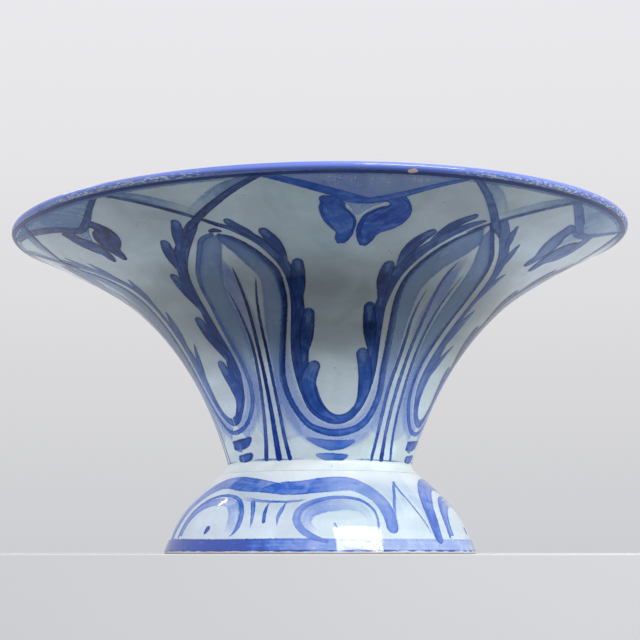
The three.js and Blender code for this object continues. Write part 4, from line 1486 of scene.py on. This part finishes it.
def paint_foot_base(art):
    """The band of wash round the bottom of the foot, darker where the brush began, and its edge"""
    around = np.arange(-84, 277, 12)
    depth = FOOT_BASE_DEPTH + 0.1 * np.sin(np.radians(7 * around))
    width = FOOT_BASE_WIDTH + 0.2 * np.cos(np.radians(5 * around))
    load = np.interp(around, *zip(*FOOT_BASE_LOADS))
    art.stroke(list(zip(around, depth)), width, list(load), "flat", "flat", 0.9)
    art.tint = 0.25
    for start in range(-83, 277, 6):
        art.layer = 1
        art.stroke([(start, 60), (start + 2 + start % 3, 60.1), (start + 4 + start % 5, 59.9)], 1.5,
                   [1.8, 1.0, 2.2], "point", "point", 0.5)


# Operators

# How many lifts over the glaze each piece of the painting lies
WASH_LIFTS, LINE_LIFTS, GARLAND_LIFTS, SWAG_LIFTS = 1, 2, 3, 4.5
LIP_LIFTS, RIM_LIFTS, BLEMISH_LIFTS = 1, 5.5, 6.5
FOOT_BASE_LIFTS, FOOT_LIFTS = 1, 1.5

# How streaky the cobalt of each piece is, next to the usual
WASH_STREAKS, SWAG_STREAKS, FOOT_STREAKS, LIP_STREAKS, CHIP_STREAKS = 0.24, 0.75, 0.8, 0.3, 0.2
CHIP_GLOSS = 0.45

# The foot's thin glaze is this much darker, and its clay is bare up to this height
FOOT_SHADE = 0.93
FOOT_BARE = 0.0006


class PieceOperator:
    """What every operator here shares"""

    bl_options = {"REGISTER", "UNDO"}

    def execute(self, context):
        self.make(context, settings_of(context))
        return {"FINISHED"}


class FOOTEDBOWL_OT_bowl_body(PieceOperator, bpy.types.Operator):
    """Turns the bowl's wall, lip and floor in one closed form"""

    bl_idname = "footedbowl.bowl_body"
    bl_label = "Bowl body"

    def make(self, context, settings):
        colours = settings.colours
        whole, _ = bowl_outlines(settings.sizes)
        material = glaze_material("Tin glaze", colours.glaze, colours.shoulder_painted_shade, colours.clay,
                                  mirror=BOWL_MIRROR, lip_row=float(np.argmax(whole[:, 1])))
        piece = turned_piece("bowl_body", whole, settings.sizes, material, leans=True)
        seat(piece, BOWL_SLOT, "bowl")


class FOOTEDBOWL_OT_joint(PieceOperator, bpy.types.Operator):
    """Turns the coil of clay that joins the bowl to the foot"""

    bl_idname = "footedbowl.joint"
    bl_label = "Joint"

    def make(self, context, settings):
        colours = settings.colours
        # The joint takes the neck's painted lighter tone
        material = glaze_material("Joint glaze", colours.neck_painted_light, colours.foot_glaze, colours.clay)
        piece = turned_piece("joint_coil", joint_outline(settings.sizes), settings.sizes, material)
        seat(piece, JOINT_SLOT, "luting_coil")


class FOOTEDBOWL_OT_foot_body(PieceOperator, bpy.types.Operator):
    """Turns the hollow foot, with bare clay on the ring it stands on"""

    bl_idname = "footedbowl.foot_body"
    bl_label = "Foot body"

    def make(self, context, settings):
        colours = settings.colours
        shade = tuple(FOOT_SHADE * part for part in colours.foot_glaze)
        material = glaze_material("Foot glaze", colours.foot_glaze, shade, colours.clay, FOOT_BARE,
                                  FOOT_MIRROR, colours.neck_painted_light, FOOT_GLOSS)
        whole, _ = foot_outlines(settings.sizes)
        piece = turned_piece("foot_body", whole, settings.sizes, material)
        seat(piece, FOOT_SLOT, "foot")


class FOOTEDBOWL_OT_petals(PieceOperator, bpy.types.Operator):
    """Paints the petals' washes, outlines and veins"""

    bl_idname = "footedbowl.petals"
    bl_label = "Petals"

    def make(self, context, settings):
        _, outline = bowl_outlines(settings.sizes)
        material = cobalt_of(settings.colours)
        calm = cobalt_of(settings.colours, "Cobalt wash", WASH_STREAKS)
        washes = Drawing(outline)
        paint_ground_washes(washes)
        paint_halos(washes)
        paint_petal_washes(washes)
        painted_piece("petal_washes", washes, outline, settings, calm, BOWL_SLOT, settings.copies,
                      WASH_LIFTS)
        lines = Drawing(outline)
        paint_petal_lines(lines)
        paint_petal_veins(lines)
        paint_neck_dabs(lines)
        painted_piece("petal_lines", lines, outline, settings, material, BOWL_SLOT, settings.copies,
                      LINE_LIFTS)


class FOOTEDBOWL_OT_garlands(PieceOperator, bpy.types.Operator):
    """Paints the leafy garlands between the petals"""

    bl_idname = "footedbowl.garlands"
    bl_label = "Garlands"

    def make(self, context, settings):
        _, outline = bowl_outlines(settings.sizes)
        art = Drawing(outline)
        for paint in (paint_garland_left, paint_garland_right, paint_garland_far, paint_garland_next):
            paint(art)
        painted_piece("garlands", art, outline, settings, cobalt_of(settings.colours), BOWL_SLOT,
                      settings.copies, GARLAND_LIFTS)


class FOOTEDBOWL_OT_swags(PieceOperator, bpy.types.Operator):
    """Paints the swags and bows that hang from the rim"""

    bl_idname = "footedbowl.swags"
    bl_label = "Swags and bows"

    def make(self, context, settings):
        _, outline = bowl_outlines(settings.sizes)
        art = Drawing(outline)
        for crossing in CROSSINGS:
            paint_crossing(art, *crossing)
        for bow in BOWS:
            paint_bow(art, *bow)
        material = cobalt_of(settings.colours, "Swag cobalt", SWAG_STREAKS)
        painted_piece("swags_and_bows", art, outline, settings, material, BOWL_SLOT, 1, SWAG_LIFTS)


class FOOTEDBOWL_OT_rim(PieceOperator, bpy.types.Operator):
    """Paints the navy line and the worn blue band on the lip"""

    bl_idname = "footedbowl.rim"
    bl_label = "Rim"

    def make(self, context, settings):
        colours = settings.colours
        _, outline = bowl_outlines(settings.sizes)
        lip_top = lengths_of(outline)[np.argmax(outline[:, 1])]
        lines, band = Drawing(outline), Drawing(outline)
        paint_rim(lines, band, lip_top - LIP_BAND_DEPTH, lip_top)
        tones = (colours.lip_blue,) * 3
        blue = cobalt_material("Lip blue", tones, tones, LIP_STREAKS, LIP_GLOSS, 1.0, LIP_MIRROR)
        painted_piece("lip_band", band, outline, settings, blue, BOWL_SLOT, 1, LIP_LIFTS)
        painted_piece("rim_line", lines, outline, settings, cobalt_of(colours), BOWL_SLOT, 1, RIM_LIFTS)


class FOOTEDBOWL_OT_blemishes(PieceOperator, bpy.types.Operator):
    """Adds the chip in the lip and the specks in the glaze"""

    bl_idname = "footedbowl.blemishes"
    bl_label = "Chip and specks"

    def make(self, context, settings):
        _, outline = bowl_outlines(settings.sizes)
        art = Drawing(outline)
        paint_blemishes(art)
        chip, speck = (settings.colours.chip,) * 3, (settings.colours.speck,) * 3
        material = cobalt_material("Chip and specks", chip, speck, CHIP_STREAKS, CHIP_GLOSS)
        painted_piece("chip_and_specks", art, outline, settings, material, BOWL_SLOT, 1, BLEMISH_LIFTS)


class FOOTEDBOWL_OT_foot_painting(PieceOperator, bpy.types.Operator):
    """Paints the wash round the foot's bottom, and the arches, fringe, band and peaks over it"""

    bl_idname = "footedbowl.foot_painting"
    bl_label = "Foot painting"

    def make(self, context, settings):
        _, outline = foot_outlines(settings.sizes)
        foot_length = lengths_of(outline)[-1]
        material = cobalt_of(settings.colours, "Foot cobalt", FOOT_STREAKS, FOOT_MIRROR, FOOT_GLOSS)
        base = Drawing(outline, from_top=foot_length)
        base.tint = 1.0
        paint_foot_base(base)
        painted_piece("foot_base_band", base, outline, settings, material, FOOT_SLOT, 1,
                      FOOT_BASE_LIFTS, leans=False)
        art = Drawing(outline, from_top=foot_length)
        art.tint = 1.0
        for paint in (paint_foot_arches, paint_foot_fringe, paint_foot_band, paint_foot_peak):
            paint(art)
        painted_piece("foot_painting", art, outline, settings, material, FOOT_SLOT, settings.copies,
                      FOOT_LIFTS, leans=False)


class FOOTEDBOWL_OT_stage(PieceOperator, bpy.types.Operator):
    """Sets the shelf, the pale surroundings, the lamps and the camera"""

    bl_idname = "footedbowl.stage"
    bl_label = "Stage"

    def make(self, context, settings):
        make_shelf(settings.colours.shelf)
        make_surroundings()
        make_lamps()
        make_camera()


# The stage

SHELF_FRONT, SHELF_BACK = -0.112, 1.3
SHELF_HALF_WIDTH = 1.5
SHELF_THICKNESS = 0.14
SHELF_EDGE = 0.0006
SHELF_ROUGHNESS, SHELF_IOR = 0.55, 1.45
SHELF_MOTTLE = (0.3, 0.7, 0.985, 1.015)


def make_shelf(colour):
    """A plain pale shelf with a fine rounded edge, its front close to the foot"""
    low = (-SHELF_HALF_WIDTH, SHELF_FRONT, -SHELF_THICKNESS)
    high = (SHELF_HALF_WIDTH, SHELF_BACK, 0.0)
    corners = [(x, y, z) for z in (low[2], high[2]) for y in (low[1], high[1]) for x in (low[0], high[0])]
    faces = [(0, 2, 3, 1), (4, 5, 7, 6), (0, 1, 5, 4), (1, 3, 7, 5), (3, 2, 6, 7), (2, 0, 4, 6)]
    mesh = bpy.data.meshes.new("shelf")
    mesh.from_pydata(corners, [], faces)
    shelf = bpy.data.objects.new("shelf", mesh)
    bpy.context.scene.collection.objects.link(shelf)
    bevel = shelf.modifiers.new("Edge", "BEVEL")
    bevel.width = SHELF_EDGE
    bevel.segments = 3
    material, tree, shader = new_material("Shelf paint")
    place = object_place(tree)
    mottle = ramped(tree, noise(tree, place, 3.0, 3.0), *SHELF_MOTTLE)
    toned = mixed(tree, 1.0, colour, grey(tree, mottle), "MULTIPLY")
    connect(tree, shader, {"Base Color": toned})
    shader.inputs["Roughness"].default_value = SHELF_ROUGHNESS
    shader.inputs["IOR"].default_value = SHELF_IOR
    mesh.materials.append(material)


# How light the backdrop is at heights of view in degrees over the horizon
BACKDROP = ((0.0, (0.612, 0.618, 0.640)), (5.7, (0.680, 0.680, 0.700)), (9.5, (0.730, 0.730, 0.752)),
            (16.0, (0.800, 0.795, 0.822)), (24.0, (0.835, 0.830, 0.862)))

# Soft light of the room: straight above, over the horizon, round it, and under it
ROOM_TOP, ROOM_ABOVE, ROOM_LEVEL, ROOM_BELOW = 0.3, 0.9, 0.95, 0.04
ROOM_COLOUR = (0.97, 0.98, 1.0, 1.0)

# Sines of the heights of view between which that light changes
ABOVE_SINES, BELOW_SINES, TOP_SINES = (0.05, 0.3), (-0.1, -0.4), (0.82, 0.96)


def make_surroundings():
    """A pale backdrop for the camera and for reflections, and an even soft light for the rest"""
    world = bpy.data.worlds.new("Studio")
    bpy.context.scene.world = world
    world.use_nodes = True
    tree = world.node_tree
    tree.nodes.clear()
    towards = tree.nodes.new("ShaderNodeTexCoord").outputs["Generated"]
    rise = height_of(tree, towards)
    highest = math.sin(math.radians(BACKDROP[-1][0]))
    height = ramped(tree, rise, 0.0, highest)
    ramp = tree.nodes.new("ShaderNodeValToRGB")
    tree.links.new(height, ramp.inputs["Fac"])
    stops = ramp.color_ramp.elements
    for index, (degrees, colour) in enumerate(BACKDROP):
        share = math.sin(math.radians(degrees)) / highest
        stop = stops[index] if index < 2 else stops.new(share)
        stop.position = share
        stop.color = (*colour, 1.0)
    above = ramped(tree, rise, *ABOVE_SINES, smooth=True)
    below = ramped(tree, rise, *BELOW_SINES, smooth=True)
    top = ramped(tree, rise, *TOP_SINES, 0.0, ROOM_TOP - ROOM_ABOVE, smooth=True)
    plain = maths(tree, "MULTIPLY_ADD", below, ROOM_BELOW - 1.0, maths(tree, "ADD", top, 1.0))
    seen = add_node(tree, "ShaderNodeBackground", {"Color": ramp.outputs["Color"], "Strength": plain})
    level = maths(tree, "MULTIPLY_ADD", above, ROOM_ABOVE - ROOM_LEVEL, ROOM_LEVEL)
    level = maths(tree, "ADD", level, top)
    strength = maths(tree, "MULTIPLY_ADD", below, ROOM_BELOW - ROOM_LEVEL, level)
    soft = add_node(tree, "ShaderNodeBackground", {"Color": ROOM_COLOUR, "Strength": strength})
    path = tree.nodes.new("ShaderNodeLightPath").outputs
    shown = maths(tree, "MAXIMUM", path["Is Camera Ray"], path["Is Glossy Ray"])
    shown = maths(tree, "MAXIMUM", shown, path["Is Transmission Ray"])
    both = add_node(tree, "ShaderNodeMixShader", {
        0: shown, 1: soft.outputs["Background"], 2: seen.outputs["Background"]})
    add_node(tree, "ShaderNodeOutputWorld", {"Surface": both.outputs["Shader"]})


# Soft boxes: name, degrees round from the front, degrees up, roll, distance, width, height, watts
LAMPS = (
    ("key_softbox", 32.5, 39.6, -9.0, 1.2, 0.66, 0.27, 6.2),
    ("top_softbox", 45.0, 72.0, 0.0, 1.5, 0.9, 0.5, 2.5),
    ("side_strip", -125.0, 44.0, 0.0, 1.4, 0.05, 0.25, 1.2),
)
LAMP_TARGET = (0.0, 0.0, 0.05)


def make_lamps():
    """Soft boxes that face the bowl"""
    for name, around, up, roll, distance, width, height, watts in LAMPS:
        lamp = bpy.data.lights.new(name, "AREA")
        lamp.shape = "RECTANGLE"
        lamp.size, lamp.size_y = width, height
        lamp.energy = watts
        holder = bpy.data.objects.new(name, lamp)
        bpy.context.scene.collection.objects.link(holder)
        turn = Matrix.Rotation(math.radians(around), 3, "Z")
        turn = turn @ Matrix.Rotation(math.radians(90 - up), 3, "X")
        turn = turn @ Matrix.Rotation(math.radians(roll), 3, "Z")
        holder.rotation_euler = turn.to_euler()
        holder.location = Vector(LAMP_TARGET) + distance * turn.col[2]


CAMERA_DISTANCE, CAMERA_HEIGHT = 0.932, 0.001
CAMERA_PITCH = 8.72
CAMERA_LENS, CAMERA_SENSOR = 85.1, 36.0


def make_camera():
    """The photograph's view: close over the shelf, tilted up a little"""
    lens = bpy.data.cameras.new("camera")
    lens.sensor_width = CAMERA_SENSOR
    lens.lens = CAMERA_LENS
    lens.clip_start = 0.01
    camera = bpy.data.objects.new("camera", lens)
    bpy.context.scene.collection.objects.link(camera)
    camera.location = (0.0, -CAMERA_DISTANCE, CAMERA_HEIGHT)
    camera.rotation_euler = (math.radians(90 + CAMERA_PITCH), 0.0, 0.0)
    scene = bpy.context.scene
    scene.camera = camera
    scene.view_settings.view_transform = "Standard"


# The panel and the script

MAKERS = (
    FOOTEDBOWL_OT_stage, FOOTEDBOWL_OT_bowl_body, FOOTEDBOWL_OT_joint, FOOTEDBOWL_OT_foot_body,
    FOOTEDBOWL_OT_petals, FOOTEDBOWL_OT_garlands, FOOTEDBOWL_OT_swags, FOOTEDBOWL_OT_rim,
    FOOTEDBOWL_OT_blemishes, FOOTEDBOWL_OT_foot_painting,
)


class FOOTEDBOWL_PT_panel(bpy.types.Panel):
    """Lists the sizes, the colours and the pieces"""

    bl_label = "Footed bowl"
    bl_idname = "FOOTEDBOWL_PT_panel"
    bl_space_type = "VIEW_3D"
    bl_region_type = "UI"
    bl_category = "Footed bowl"

    def draw(self, context):
        settings = settings_of(context)
        for group in (settings, settings.sizes, settings.colours):
            box = self.layout.box()
            for name in group.__annotations__:
                if name not in ("sizes", "colours"):
                    box.prop(group, name)
        for maker in MAKERS:
            self.layout.operator(maker.bl_idname)


CLASSES = (FootedBowlSizes, FootedBowlColours, FootedBowlSettings, *MAKERS, FOOTEDBOWL_PT_panel)


def register():
    for cls in CLASSES:
        bpy.utils.register_class(cls)
    bpy.types.Scene.footed_bowl = bpy.props.PointerProperty(type=FootedBowlSettings)


def unregister():
    del bpy.types.Scene.footed_bowl
    for cls in reversed(CLASSES):
        bpy.utils.unregister_class(cls)


def main():
    register()
    for maker in MAKERS:
        space, name = maker.bl_idname.split(".")
        getattr(getattr(bpy.ops, space), name)()


if __name__ == "__main__":
    main()
